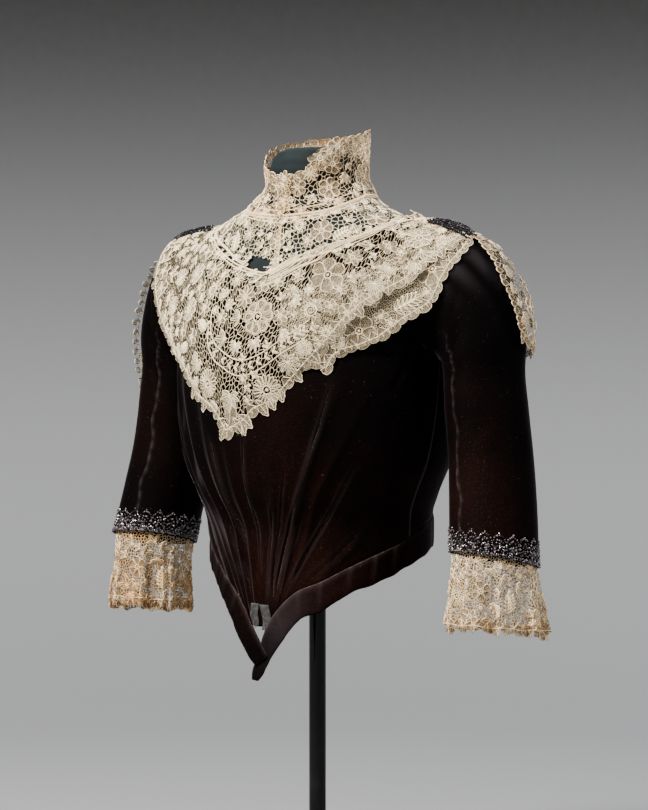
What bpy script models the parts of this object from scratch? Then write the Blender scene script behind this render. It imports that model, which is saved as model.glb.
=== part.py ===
"""A velvet bodice with a lace collar, yoke and bertha, worn on a limbless dress form with a pole and a round base.

Metres, +Z up. The front of the bodice faces -Y and the wearer's left is +X. The origin is the middle of the
base's underside. Tables hold millimetres and degrees, and the functions that read them turn those into metres
and radians.
"""

import math
from collections import namedtuple

import bmesh
import bpy
import numpy as np
from mathutils import Vector
from mathutils.bvhtree import BVHTree

MM = 0.001

# Walls and clearances.
VELVET = 1.8 * MM
LACE = 1.0 * MM
BEADWORK = 1.8 * MM
SEAM = 0.35 * MM
LAID_ON = 0.7 * MM
SLEEVE_SEAT = 2.4 * MM

# The stand.
POLE_RADIUS = 9.0 * MM
POLE_CLEARANCE = 0.3 * MM
BASE_RADIUS = 160.0 * MM
BASE_HEIGHT = 12.0 * MM
BASE_EDGE = 3.0 * MM
FORM_BOTTOM = 404.0 * MM
SOCKET_TOP = 450.0 * MM
ROUND_SIDES = 28
FORM_RINGS = [  # heights at which the form's outer face is drawn
    404, 408, 414, 428, 445, 480, 530, 590, 640, 675, 700, 716, 729, 739, 747, 754, 760, 766, 772, 779, 786, 793,
]

# Horizontal sections of the bodice's outer face: an oval whose front and back have their own depths.
Section = namedtuple("Section", "height side front back")
BODICE = [
    Section(330, 125.0, 93.0, 116.0),
    Section(400, 125.5, 96.0, 116.0),
    Section(425, 126.0, 99.0, 115.5),
    Section(440, 127.0, 105.0, 116.5),
    Section(458, 133.0, 114.0, 122.0),
    Section(490, 147.5, 122.0, 131.0),
    Section(530, 157.5, 125.0, 131.0),
    Section(580, 163.0, 124.0, 126.0),
    Section(630, 165.0, 114.0, 117.0),
    Section(665, 164.0, 101.0, 109.0),
    Section(690, 161.0, 86.0, 99.5),
    Section(710, 154.0, 75.0, 90.0),
    Section(725, 145.0, 68.0, 82.0),
    Section(737, 130.0, 63.5, 74.0),
    Section(746, 112.0, 60.5, 68.0),
    Section(754, 92.0, 58.5, 63.5),
    Section(762, 75.0, 57.0, 60.0),
    Section(772, 63.0, 56.0, 58.0),
    Section(790, 58.0, 54.0, 56.0),
]

# How far the dress form stands inside the bodice's outer face, least at the shoulders, which carry it.
Ease = namedtuple("Ease", "height side front back")
FORM_EASE = [
    Ease(404, 26.0, 24.0, 28.0),
    Ease(412, 18.0, 18.0, 20.0),
    Ease(440, 12.0, 20.0, 17.0),
    Ease(490, 15.0, 25.0, 21.0),
    Ease(530, 12.0, 20.0, 17.0),
    Ease(580, 6.0, 10.0, 9.0),
    Ease(630, 3.5, 5.0, 5.0),
    Ease(665, 3.0, 3.2, 3.2),
    Ease(720, 3.3, 3.3, 3.3),
    Ease(745, 3.4, 3.4, 3.4),
    Ease(760, 4.2, 4.0, 4.0),
    Ease(775, 4.0, 3.8, 3.8),
    Ease(790, 3.2, 3.2, 3.2),
]
NECK = Section(785, 54.4, 52.4, 53.6)
NECK_DRAW_IN = 20.0 * MM
FORM_TOP = [  # the form's neck inside the collar, closed by a low dome
    Section(801, 50.0, 48.5, 49.5),
    Section(811, 45.5, 45.5, 46.0),
    Section(818, 36.0, 36.0, 37.0),
    Section(821, 22.0, 22.0, 23.0),
    Section(822, 5.0, 5.0, 5.0),
]

# Angles of the fronts' edges from the centre front.
FRONT_EDGE = 0.15
SIDE_SEAM = 89.75
SEAM_ANGLE = 0.5

# Heights of edges that go round the bodice, by the angle from the centre front.
Edge = namedtuple("Edge", "angle height")
NECKLINE = [
    Edge(0, 690), Edge(15, 697), Edge(29, 713), Edge(55, 732), Edge(80, 742), Edge(95, 746), Edge(180, 744),
]
COLLAR_SEAM = [Edge(0, 747), Edge(30, 751), Edge(60, 761), Edge(90, 769), Edge(180, 772)]
COLLAR_TOP_LEFT = [
    Edge(0, 786), Edge(20, 790), Edge(40, 800), Edge(60, 814), Edge(80, 827), Edge(115, 837), Edge(180, 833),
]
COLLAR_TOP_RIGHT = [Edge(0, 785), Edge(25, 790), Edge(45, 797), Edge(70, 812), Edge(100, 824), Edge(180, 833)]

# The band below the waist seam is a strip of doubled velvet, given by its upper and lower edges from the centre
# back to the front point, where each end hangs free as a tab. The right tab is the shorter and lies on the left.
Strip = namedtuple("Strip", "upper_angle upper_height lower_angle lower_height")
BAND_BEHIND = [
    Strip(179.8, 440, 179.8, 410),
    Strip(150, 439, 150, 408.5),
    Strip(126, 434, 126, 403),
    Strip(103, 424, 103, 394),
]
BAND_LEFT = BAND_BEHIND + [
    Strip(82, 410, 82, 381),
    Strip(61, 396, 61, 367),
    Strip(47, 384, 47, 356),
    Strip(34, 370.5, 35, 341),
    Strip(20.3, 358, 23, 330),
    Strip(11.5, 341, 17.5, 318),
    Strip(6.4, 327, 12.5, 304),
    Strip(2.6, 311, 8.0, 291),
    Strip(-0.6, 291, 4.6, 279),
    Strip(-4.2, 272, 1.6, 268),
    Strip(-4.4, 265, -0.2, 264),
]
BAND_RIGHT = BAND_BEHIND + [
    Strip(82, 416, 82, 389),
    Strip(61, 408, 61, 383),
    Strip(45, 397, 46, 374),
    Strip(33, 383, 35, 360),
    Strip(21, 364, 27, 343),
    Strip(13, 351, 20.5, 328),
    Strip(7.0, 336, 14.5, 311),
    Strip(2.6, 320, 9.0, 298),
    Strip(-2.2, 304, 4.6, 287),
    Strip(-5.8, 292, 1.4, 281),
]
BAND_SIDE = 126.5 * MM
BAND_FRONT = 95.5 * MM
BAND_BACK = 117.0 * MM
BAND_WALL = 2.0 * MM
LIFT_SHARE = 1.3  # the upper tab's lift: full near the point, none beyond LIFT_SHARE * LIFT_ANGLE degrees
LIFT_ANGLE = 16.0
WAIST_GAP = 0.9 * MM
FRONT_HEM = 336.5 * MM

# The collar: how far it starts above its seam, how far its top flares, and where its two front edges stand.
COLLAR_STAND = 1.1 * MM
COLLAR_FLARE = 2.0 * MM
COLLAR_CLOSENESS = 1.5  # above 1, rows lie closer at the seam
COLLAR_OPENING = 1.2
COLLAR_BACK = 179.6
COLLAR_SCALLOPS = 8
COLLAR_SCALLOP = 2.5 * MM
COLLAR_GAP_RIM = 3.6 * MM

# Each front is drawn in to the waist point, so its threads fan up and out from there. A gather lies along one of
# them, at a share of the way round from the centre front to the side.
FAN_FOOT = 0.24
FAN_SIDE = 8.0
FAN_TOP = 0.55
FAN_BEND = 0.85
Gather = namedtuple("Gather", "place top depth width")
GATHERS_LEFT = [
    Gather(0.18, 0.50, 3.0, 0.030),
    Gather(0.44, 0.72, 3.2, 0.035),
    Gather(0.61, 0.55, 3.0, 0.035),
    Gather(0.80, 0.36, 2.0, 0.050),
]
GATHERS_RIGHT = [
    Gather(0.10, 0.50, 3.5, 0.035),
    Gather(0.25, 0.60, 6.5, 0.045),
    Gather(0.41, 0.66, 8.0, 0.050),
    Gather(0.57, 0.70, 7.5, 0.050),
    Gather(0.73, 0.66, 6.0, 0.050),
    Gather(0.88, 0.50, 3.5, 0.050),
]
GATHER_AT_FOOT = 0.22
GATHER_RISE = 0.16
ROW_CLOSENESS = 1.4  # above 1, a panel's rows of points lie closer towards the shoulders
HEAD_CLOSENESS = 1.25  # the same for the sleeve, towards its head

# The sleeve: ovals along the arm. tilt_out turns an oval from upright at the armhole to level on the arm, and
# tilt_front lowers its back, as at a bent elbow.
Ring = namedtuple("Ring", "along x y z tilt_out tilt_front half_width half_depth")
SLEEVE = [
    Ring(0.00, 166.0, 12.0, 667.0, 0, 0, 70.0, 53.0),
    Ring(0.10, 184.4, 13.0, 660.6, 15, 0, 66.0, 53.0),
    Ring(0.20, 197.0, 14.0, 645.7, 30, 0, 57.0, 51.0),
    Ring(0.30, 205.8, 15.0, 625.4, 50, 0, 47.0, 48.5),
    Ring(0.39, 209.7, 15.0, 607.9, 70, 0, 41.5, 46.0),
    Ring(0.47, 209.5, 15.0, 592.0, 88, 0, 38.5, 44.0),
    Ring(0.60, 213.0, 15.0, 550.0, 90, 2, 39.5, 44.5),
    Ring(0.73, 219.5, 14.0, 500.0, 90, 5, 40.5, 45.0),
    Ring(0.86, 227.0, 8.0, 450.0, 91, 9, 42.0, 46.0),
    Ring(1.00, 235.0, -1.0, 397.0, 93, 13, 43.5, 46.0),
]
FRONT_SEAM_ANGLE = -105.0
BACK_SEAM_ANGLE = 122.0
Crease = namedtuple("Crease", "along angle length depth")
SLEEVE_CREASES = [  # soft troughs down the front of the arm, and one below the head
    Crease(0.34, -88.0, 0.16, 2.6),
    Crease(0.52, -96.0, 0.14, 2.2),
    Crease(0.70, -112.0, 0.13, 2.0),
    Crease(0.30, 30.0, 0.12, 1.6),
]
CREASE_WIDTH = 26.0
CREASE_SLANT = 0.8
HEAD_REACH = 0.1  # share of the sleeve's length over which its head leans on the bodice
HEAD_TOP = 742.0 * MM
SLEEVE_SEAM = 0.25  # half the angle between the upper and the under sleeve

# The armhole is cut a little inside the sleeve's head.
ARMHOLE_MARGIN = 5.0
ARMHOLE_DROP = 4.0
ARMHOLE_REACH = (95.0, 185.0)  # how far the opening tube runs from the middle plane

# Cuffs. The bead border's height and scallops are shares of the sleeve's length.
TRIM_HEIGHT = 0.066
TRIM_SCALLOPS = 20
TRIM_SCALLOP_RISE = 0.014
RUFFLE_TUCK = 6.0 * MM
RUFFLE_SEAT = VELVET + 3 * SEAM
RUFFLE_CLOSENESS = 1.9  # above 1, rows lie closer at the sleeve's end
RUFFLE_LENGTH = 76.0 * MM
FOREARM = 390.0 * MM  # length of arm for each unit along the sleeve near the cuff
RUFFLE_WAVES = 9
RUFFLE_FLARE = 6.5 * MM
RUFFLE_WAVE_DEPTH = 4.2 * MM
RUFFLE_HANG = Vector((0.06, -0.02, -0.998))

# The yoke's front opening drifts to the wearer's left on its way down, beside a large gap in the right half's lace.
YOKE_OPENING_DRIFT = 5.0
YOKE_STAND = 0.85 * MM
YOKE_DEPTH = 0.5 * MM
YOKE_LEFT = (0.9, 91.7)
YOKE_RIGHT = (-91.7, 0.5)
YOKE_BACK = (92.3, 267.7)
YOKE_GAP_RIM = 3.4 * MM
TEAR_RIM = 1.2 * MM
TORN_COLUMNS = (8, 10)

# The lace bertha hangs over the shoulders. Its points lie along rays from a point inside the chest, each given by
# its angle from the centre front and its rise above level.
CHEST = Vector((0.0, 0.0, 640.0 * MM))
RAY_START = 0.6
Way = namedtuple("Way", "angle rise")
BERTHA_TOP = [
    Way(-92, 42.4), Way(-66, 37), Way(-42, 34.6), Way(-20, 31.8), Way(3, 28.5),
    Way(27, 35.2), Way(49, 38.8), Way(67, 39.3), Way(92, 42.4),
]
OVER_HEM = [
    Way(-92, 25), Way(-86, 20.5), Way(-80, 14), Way(-74.6, 6), Way(-65.7, -3.3), Way(-61.5, -7.1),
    Way(-54.6, -15.7), Way(-48, -17.5), Way(-40.6, -22), Way(-29.3, -31), Way(-13.7, -37), Way(-9, -43.2),
    Way(2.7, -40), Way(8.8, -36), Way(16.5, -34), Way(25, -28), Way(34, -18.7), Way(42, -10.2), Way(49, -1),
    Way(56.7, 6.5), Way(62, 9.5), Way(71, 13.6), Way(75.5, 18), Way(86.6, 23.4), Way(92, 24.3),
]
UNDER_HEM = [
    Way(22, -16), Way(34, -18.7), Way(39.8, -17.9), Way(43.2, -20.9), Way(46, -15.9), Way(49.8, -13.3),
    Way(56.4, -12), Way(62.9, -9.1), Way(69.8, -2.9), Way(75.5, 0.9), Way(78.4, 9), Way(81, 14.2),
    Way(85.4, 19.2), Way(92, 24.3),
]
CAPE_TOP = [
    Way(92, 42.4), Way(121, 47.6), Way(148, 54), Way(180, 56.4), Way(212, 54), Way(239, 47.6), Way(268, 42.4),
]
CAPE_HEM = [
    Way(92, -2.5), Way(97, -5.5), Way(108, -9), Way(130, -18), Way(155, -26), Way(180, -30), Way(205, -28),
    Way(225, -26), Way(245, -23), Way(258, -19), Way(268, -16.5),
]
DRAPE_ROUNDS = 24
DRAPE_GAP = 0.65 * MM
SPOTS = 4
STEEPEST = 0.35  # least share of the cloth's thickness that counts along a ray where the cloth slopes away

# Where the lace swells away from what lies beneath: gathered along the shoulders, and flared off the sleeves' backs.
Swell = namedtuple("Swell", "angle rise angle_reach rise_reach depth")
OVER_SWELLS = [Swell(92, 34, 8, 9, 1.0), Swell(-92, 34, 8, 9, 1.0)]
CAPE_SWELLS = [
    Swell(92, 34, 8, 9, 1.0), Swell(268, 34, 8, 9, 1.0), Swell(100, 1, 26, 12, 8), Swell(262, -9, 28, 16, 12),
    Swell(142, -20, 9, 16, 5), Swell(165, -26, 8, 16, 5), Swell(193, -26, 8, 16, 5), Swell(218, -22, 9, 16, 5),
]
BERTHA_GAP_RIM = 5.0 * MM
TIER_ENDS = (22.0, 91.82)
CAPE_ENDS = (92.18, 267.82)
OVER_ENDS = (-91.82, 91.82)
UNDER_TIER_SEAT = 0.8 * MM
CAPE_SEAT = 0.4 * MM

# The strip of beads on each shoulder: its middle, width and rises as seen from the chest.
SHOULDER_TRIM_ANGLE = 91.0
SHOULDER_TRIM_WIDTH = 3.6
SHOULDER_TRIM_RISE = (23.0, 33.5)
SHOULDER_TRIM_SEAT = 0.6 * MM
SHOULDER_TRIM = 2.2 * MM

# The grey tape tabs behind the velvet at the front point: middle angle and lower end.
TAPE_WIDTH = 6.6 * MM
TAPE_WALL = 1.2 * MM
TAPE_TOP = 346.0 * MM
TAPES = {"right": (-1.8, 323.0 * MM), "left": (2.9, 318.5 * MM)}

COLOURS = {  # base colour, roughness, metallic
    "velvet": ((0.020, 0.009, 0.008), 0.75, 0.0),
    "lace": ((0.82, 0.76, 0.64), 0.85, 0.0),
    "jet": ((0.012, 0.012, 0.014), 0.18, 0.0),
    "form_cloth": ((0.020, 0.045, 0.052), 0.80, 0.0),
    "black_steel": ((0.015, 0.015, 0.016), 0.35, 0.6),
    "tape": ((0.16, 0.16, 0.17), 0.60, 0.2),
}


def clear_scene():
    """Starts from an empty scene."""
    for obj in list(bpy.data.objects):
        bpy.data.objects.remove(obj)


def collection(name):
    """A new collection in the scene."""
    made = bpy.data.collections.new(name)
    bpy.context.scene.collection.children.link(made)
    return made


def material(name):
    """One of the named finishes."""
    found = bpy.data.materials.get(name)
    if found:
        return found
    colour, roughness, metallic = COLOURS[name]
    made = bpy.data.materials.new(name)
    made.use_nodes = True
    shader = made.node_tree.nodes["Principled BSDF"]
    shader.inputs["Base Color"].default_value = (*colour, 1.0)
    shader.inputs["Roughness"].default_value = roughness
    shader.inputs["Metallic"].default_value = metallic
    return made


def curve_through(places, values):
    """A smooth function through the given values, level beyond both ends."""
    places = np.array(places, float)
    values = np.array(values, float)
    slopes = np.gradient(values, places)

    def value(place):
        i = int(np.clip(np.searchsorted(places, place) - 1, 0, len(places) - 2))
        step = places[i + 1] - places[i]
        u = float(np.clip((place - places[i]) / step, 0.0, 1.0))
        start = (1 + 2 * u) * (1 - u) ** 2 * values[i] + u * (1 - u) ** 2 * step * slopes[i]
        end = u * u * (3 - 2 * u) * values[i + 1] + u * u * (u - 1) * step * slopes[i + 1]
        return start + end

    return value


def columns_of(table, key):
    """One smooth function of the key column for each other column of a table."""
    places = [getattr(row, key) for row in table]
    names = [name for name in table[0]._fields if name != key]
    return {name: curve_through(places, [getattr(row, name) for row in table]) for name in names}


def edge_height(table, angle):
    """The height of an edge at an angle from the centre front, in metres."""
    turned = abs((angle + 180.0) % 360.0 - 180.0)
    return np.interp(turned, [row.angle for row in table], [row.height for row in table]) * MM


BODICE_AT = columns_of(BODICE, "height")
EASE_AT = columns_of(FORM_EASE, "height")
SLEEVE_AT = columns_of(SLEEVE, "along")


def oval(sizes, angle, height):
    """The point of an oval section at an angle from the centre front."""
    turn = math.radians(angle)
    depth = sizes["front"] if math.cos(turn) > 0 else sizes["back"]
    return Vector((sizes["side"] * math.sin(turn), -depth * math.cos(turn), height))


def body_point(angle, height):
    """A point of the bodice's smooth outer face, which draws in to the neck above the collar's seam."""
    seam = edge_height(COLLAR_SEAM, angle)
    rise = min(max((height - seam) / NECK_DRAW_IN, 0.0), 1.0)
    drawn_in = rise * rise * (3 - 2 * rise)
    sizes = {}
    for name in ("side", "front", "back"):
        low = BODICE_AT[name](min(height, seam) / MM)
        sizes[name] = (low + (getattr(NECK, name) - low) * drawn_in) * MM
    return oval(sizes, angle, height)


def normal_of(point, u, v, du, dv):
    """The outward normal of a face given as a function of two values."""
    across = point(u + du, v) - point(u - du, v)
    up = point(u, v + dv) - point(u, v - dv)
    return across.cross(up).normalized()


def body_offset(angle, height, distance):
    """A point at a distance outside the smooth outer face."""
    return body_point(angle, height) + normal_of(body_point, angle, height, 0.5, 0.5 * MM) * distance


def gather_relief(place, height_share, gathers):
    """How far the gathers lift the cloth, at a share of the way round and a share of the way up a front."""
    relief = 0.0
    for fold in gathers:
        off = (place - fold.place) / fold.width
        fade = max(0.0, 1.0 - height_share / fold.top) ** 0.7
        grown = GATHER_AT_FOOT + (1 - GATHER_AT_FOOT) * min(height_share / GATHER_RISE, 1.0)
        relief += fold.depth * MM * math.exp(-off * off) * fade * grown
    return relief


def fan_angle(place, height_share):
    """The angle of a thread of a front: the threads crowd towards the centre front at the waist."""
    foot = FAN_FOOT * place + (1 - FAN_FOOT) * place**FAN_SIDE
    spread = min(height_share / FAN_TOP, 1.0) ** FAN_BEND
    return FRONT_EDGE + (SIDE_SEAM - FRONT_EDGE) * (foot + (place - foot) * spread)


def strip_columns(rows):
    """Smooth functions for a strip's edges, by the share of its length from the centre back."""
    middles = [((row.upper_angle + row.lower_angle) / 2, (row.upper_height + row.lower_height) / 2) for row in rows]
    around = math.radians(1.0) * BAND_SIDE / MM
    runs = [math.hypot((b[0] - a[0]) * around, b[1] - a[1]) for a, b in zip(middles, middles[1:])]
    places = np.concatenate(([0.0], np.cumsum(runs))) / sum(runs)
    return [curve_through(places, [row[i] for row in rows]) for i in range(4)]


def upper_edge(rows, samples=90):
    """Places along a strip's upper edge, from the front point to the centre back."""
    angle, height = strip_columns(rows)[:2]
    return [(angle(i / samples), height(i / samples)) for i in range(samples, -1, -1)]


BAND_TOPS = {1: upper_edge(BAND_LEFT), -1: upper_edge(BAND_RIGHT)}


def waist_seam(angle):
    """Height of the velvet's lower edge, just above the band and level at the front point."""
    turned = (angle + 180.0) % 360.0 - 180.0
    band_top = BAND_TOPS[1 if turned > 0 else -1]
    top = np.interp(abs(turned), [place[0] for place in band_top], [place[1] for place in band_top]) * MM
    return max(top + WAIST_GAP, FRONT_HEM)


def link(obj, name, finish, into):
    """Names an object, gives it its finish and puts it in a collection."""
    obj.name = name
    obj.data.name = name
    obj.data.materials.append(material(finish))
    into.objects.link(obj)
    return obj


def mesh_object(bm, name, finish, into, smooth=True):
    """An object from a bmesh."""
    mesh = bpy.data.meshes.new(name)
    bm.to_mesh(mesh)
    bm.free()
    if smooth:
        mesh.shade_smooth()
    return link(bpy.data.objects.new(name, mesh), name, finish, into)


def cloth(name, finish, into, point, columns, rows, wall, closed=False, gap_at=None):
    """A wall of cloth: a grid of points on its outer face, thickened inwards.

    point takes two shares from 0 to 1. gap_at takes a cell's column and row and gives the width of cloth left
    round a gap in that cell, or None where the cloth is whole. Neighbouring cells with one negative width share a
    single gap.
    """
    bm = bmesh.new()
    around = columns if closed else columns + 1
    grid = [[bm.verts.new(point(i / columns, j / rows)) for j in range(rows + 1)] for i in range(around)]
    gaps = []
    for i in range(columns):
        for j in range(rows):
            k = (i + 1) % around
            face = bm.faces.new((grid[i][j], grid[k][j], grid[k][j + 1], grid[i][j + 1]))
            rim = gap_at(i, j) if gap_at else None
            if rim is not None:
                gaps.append((face, rim))
    for face, rim in gaps:
        if rim > 0.0:
            bmesh.ops.inset_individual(bm, faces=[face], thickness=rim, use_even_offset=True)
    joined = [face for face, rim in gaps if rim < 0.0]
    if joined:
        bmesh.ops.inset_region(bm, faces=joined, thickness=TEAR_RIM, use_even_offset=True)
    bmesh.ops.delete(bm, geom=[face for face, rim in gaps], context="FACES")
    obj = mesh_object(bm, name, finish, into)
    solid = obj.modifiers.new("Wall", "SOLIDIFY")
    solid.thickness = wall
    solid.offset = -1.0
    solid.use_even_offset = True
    solid.use_quality_normals = True
    return obj


def loft(name, finish, into, rings):
    """A closed solid through rings of points, from the first to the last, both capped."""
    bm = bmesh.new()
    made = [[bm.verts.new(point) for point in ring] for ring in rings]
    for low, high in zip(made, made[1:]):
        for i in range(len(low)):
            k = (i + 1) % len(low)
            bm.faces.new((low[i], low[k], high[k], high[i]))
    bm.faces.new(list(reversed(made[0])))
    bm.faces.new(made[-1])
    return mesh_object(bm, name, finish, into)


def cylinder(name, finish, into, radius, low, high, bevel=0.0):
    """A turned solid about the Z axis, with rounded edges where a bevel is given."""
    bm = bmesh.new()
    bmesh.ops.create_cone(
        bm, cap_ends=True, segments=ROUND_SIDES, radius1=radius, radius2=radius, depth=high - low
    )
    bmesh.ops.translate(bm, verts=bm.verts, vec=(0.0, 0.0, (low + high) / 2))
    obj = mesh_object(bm, name, finish, into, smooth=False)
    obj.data.set_sharp_from_angle(angle=math.radians(40.0))
    if bevel:
        rounded = obj.modifiers.new("Edge", "BEVEL")
        rounded.width = bevel
        rounded.segments = 2
    return obj


def stand(into):
    """The base, the pole and the dress form, whose bottom has a socket for the pole."""
    cylinder("stand_base", "black_steel", into, BASE_RADIUS, 0.0, BASE_HEIGHT, BASE_EDGE)
    pole_top = SOCKET_TOP - POLE_CLEARANCE
    cylinder("stand_pole", "black_steel", into, POLE_RADIUS, BASE_HEIGHT + POLE_CLEARANCE, pole_top)
    angles = [360.0 * i / ROUND_SIDES for i in range(ROUND_SIDES)]
    socket = [Vector((math.sin(math.radians(a)), -math.cos(math.radians(a)), 0)) for a in angles]
    socket_radius = POLE_RADIUS + POLE_CLEARANCE
    rings = [[p * socket_radius + Vector((0, 0, z)) for p in socket] for z in (SOCKET_TOP, FORM_BOTTOM)]
    for height in FORM_RINGS:
        rings.append([form_point(a, height * MM) for a in angles])
    for row in FORM_TOP:
        sizes = {name: getattr(row, name) * MM for name in ("side", "front", "back")}
        rings.append([oval(sizes, a, row.height * MM) for a in angles])
    return loft("dress_form", "form_cloth", into, rings)


def form_point(angle, height):
    """A point of the dress form, inside the bodice's smooth outer face by its ease."""
    turn = math.radians(angle)
    ends = EASE_AT["front"] if math.cos(turn) > 0 else EASE_AT["back"]
    share = math.cos(turn) ** 2
    ease = EASE_AT["side"](height / MM) * (1 - share) + ends(height / MM) * share
    return body_offset(angle, height, -ease * MM)


def panel_point(angle, height_share, relief):
    """A point of the velvet between the waist seam and the neckline, lifted by its gathers."""
    low = waist_seam(angle)
    height = low + (edge_height(NECKLINE, angle) - low) * height_share
    return body_offset(angle, height, relief)


def row_height(v):
    """Share of a panel's height at a row, with rows closer together towards the shoulders."""
    return 1.0 - (1.0 - v) ** ROW_CLOSENESS


def front(into, side, label, gathers):
    """One velvet front, from the closing edge to the side seam."""

    def point(u, v):
        place = u if side > 0 else 1.0 - u
        share = row_height(v)
        return panel_point(side * fan_angle(place, share), share, gather_relief(place, share, gathers))

    return cloth("front_" + label, "velvet", into, point, 20, 16, VELVET)


def back(into):
    """The velvet back, from side seam to side seam."""

    start = SIDE_SEAM + SEAM_ANGLE

    def point(u, v):
        return panel_point(start + (360 - 2 * start) * u, row_height(v), 0.0)

    return cloth("back", "velvet", into, point, 19, 13, VELVET)


def sleeve_ring(along, angle, side):
    """A point of the smooth sleeve. side is 1 for the wearer's left and -1 for the right."""
    row = {name: SLEEVE_AT[name](along) for name in SLEEVE_AT}
    out, front, turn = (math.radians(value) for value in (row["tilt_out"], row["tilt_front"], angle))
    outward = Vector((math.sin(out), 0.0, math.cos(out))) * row["half_width"] * math.cos(turn)
    backward = Vector((0.0, math.cos(front), -math.sin(front))) * row["half_depth"] * math.sin(turn)
    place = (Vector((row["x"], row["y"], row["z"])) + outward + backward) * MM
    return Vector((place.x * side, place.y, place.z))


def crease_relief(along, angle):
    """Depth of the sleeve's soft creases at a place."""
    relief = 0.0
    for one in SLEEVE_CREASES:
        off_along = (along - one.along) / one.length
        off_round = (angle - one.angle) / CREASE_WIDTH + off_along * CREASE_SLANT
        relief -= one.depth * MM * math.exp(-4 * (off_along**2 + off_round**2))
    return relief


def sleeve_point(along, angle, side, distance=0.0):
    """A point of the sleeve's outer face, or at a distance outside it. Its head lies against the bodice."""

    def face(a, b):
        return sleeve_ring(a, b, side)

    outward = normal_of(face, along, angle, 0.01, 1.0) * side
    place = face(along, angle) + outward * (distance + crease_relief(along, angle))
    reach = 1.0 - min(along / HEAD_REACH, 1.0)
    if reach > 0.0:
        seat = armhole_seat(place)
        place.x += (side * seat - place.x) * reach
    return place


def armhole_seat(place):
    """How far from the middle plane the bodice's side is, at the height and depth of a point of the sleeve's head."""
    height = min(place.z, HEAD_TOP)
    sizes = {name: BODICE_AT[name](height / MM) * MM for name in BODICE_AT}
    depth = sizes["front"] if place.y < 0 else sizes["back"]
    share = min(abs(place.y) / depth, 0.95)
    return sizes["side"] * math.sqrt(1 - share * share) + SLEEVE_SEAT


def sleeve(into, side, label):
    """The upper and under sleeve, which meet at seams down the front and the back of the arm."""
    made = []
    parts = (
        ("sleeve_upper_" + label, FRONT_SEAM_ANGLE + SLEEVE_SEAM, BACK_SEAM_ANGLE - SLEEVE_SEAM, 14),
        ("sleeve_under_" + label, BACK_SEAM_ANGLE + SLEEVE_SEAM, 360.0 + FRONT_SEAM_ANGLE - SLEEVE_SEAM, 8),
    )
    for name, start, end, columns in parts:
        first, last = (start, end) if side < 0 else (end, start)

        def point(u, v, first=first, last=last):
            return sleeve_point((1.0 - v) ** HEAD_CLOSENESS, first + (last - first) * u, side)

        made.append(cloth(name, "velvet", into, point, columns, 13, VELVET))
    return made


def armhole_cutter(into, side, label):
    """A tube that opens the bodice's side where the sleeve is set in."""
    row = SLEEVE[0]
    rings = []
    for x in ARMHOLE_REACH:
        ring = []
        for i in range(ROUND_SIDES // 2):
            turn = math.radians(720.0 * i / ROUND_SIDES) * side
            y = row.y + (row.half_depth - ARMHOLE_MARGIN) * math.sin(turn)
            z = row.z - ARMHOLE_DROP + (row.half_width - 2 * ARMHOLE_MARGIN) * math.cos(turn)
            ring.append(Vector((x * side, y, z)) * MM)
        rings.append(ring)
    if side > 0:
        rings.reverse()
    obj = loft("armhole_cutter_" + label, "velvet", into, rings)
    bm = bmesh.new()
    bm.from_mesh(obj.data)
    bmesh.ops.recalc_face_normals(bm, faces=bm.faces)
    bm.to_mesh(obj.data)
    bm.free()
    obj.hide_render = True
    obj.display_type = "WIRE"
    return obj


def cut(obj, cutter):
    """Takes a cutter out of an object."""
    difference = obj.modifiers.new("Armhole", "BOOLEAN")
    difference.operation = "DIFFERENCE"
    difference.object = cutter


def waist_band(into, side, label, rows, lift):
    """One half of the band, from the centre back to its tab at the front point, which lifts off what it crosses."""
    upper_angle, upper_height, lower_angle, lower_height = strip_columns(rows)
    sizes = {"side": BAND_SIDE, "front": BAND_FRONT, "back": BAND_BACK}

    def point(u, v):
        share = 1.0 - u if side > 0 else u
        angle = lower_angle(share) * (1 - v) + upper_angle(share) * v
        height = lower_height(share) * (1 - v) + upper_height(share) * v
        near_tip = min(max(0.0, LIFT_SHARE - abs(angle) / LIFT_ANGLE), 1.0)
        place = oval(sizes, angle * side, height * MM)
        return place + Vector((place.x, place.y, 0.0)).normalized() * lift * near_tip

    return cloth("waist_band_" + label, "velvet", into, point, 30, 2, BAND_WALL)


def collar(into, side, label, top):
    """Half of the standing lace collar: it rises from the yoke's seam, draws in to the neck and has a scalloped top."""

    def point(u, v):
        share = u if side > 0 else 1.0 - u
        angle = COLLAR_OPENING + (COLLAR_BACK - COLLAR_OPENING) * share
        low = edge_height(COLLAR_SEAM, angle) + COLLAR_STAND
        high = edge_height(top, angle) + COLLAR_SCALLOP * abs(math.sin(COLLAR_SCALLOPS * share * math.pi)) * v
        height = low + (high - low) * v**COLLAR_CLOSENESS
        place = body_point(angle * side, height)
        outward = Vector((place.x, place.y, 0.0)).normalized()
        return place + outward * COLLAR_FLARE * max(2 * v - 1, 0.0) ** 2

    def gap_at(i, j):
        return COLLAR_GAP_RIM if (3 * i + 2 * j) % 5 == 0 and 0 < j < 4 and 0 < i < 15 else None

    return cloth("collar_" + label, "lace", into, point, 16, 5, LACE, gap_at=gap_at)


def yoke(into, label, ends, columns, gap_at):
    """A lace panel between the neckline and the collar, lying on the form. Its front edges drift with the opening."""

    def point(u, v):
        angle = ends[0] + (ends[1] - ends[0]) * u
        angle += YOKE_OPENING_DRIFT * (1 - v) * max(0.0, 1.0 - abs(angle) / 90.0)
        low = edge_height(NECKLINE, angle) + YOKE_STAND
        high = edge_height(COLLAR_SEAM, angle)
        return body_offset(angle, low + (high - low) * v, -YOKE_DEPTH)

    return cloth("yoke_" + label, "lace", into, point, columns, 5, LACE, gap_at=gap_at)


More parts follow.
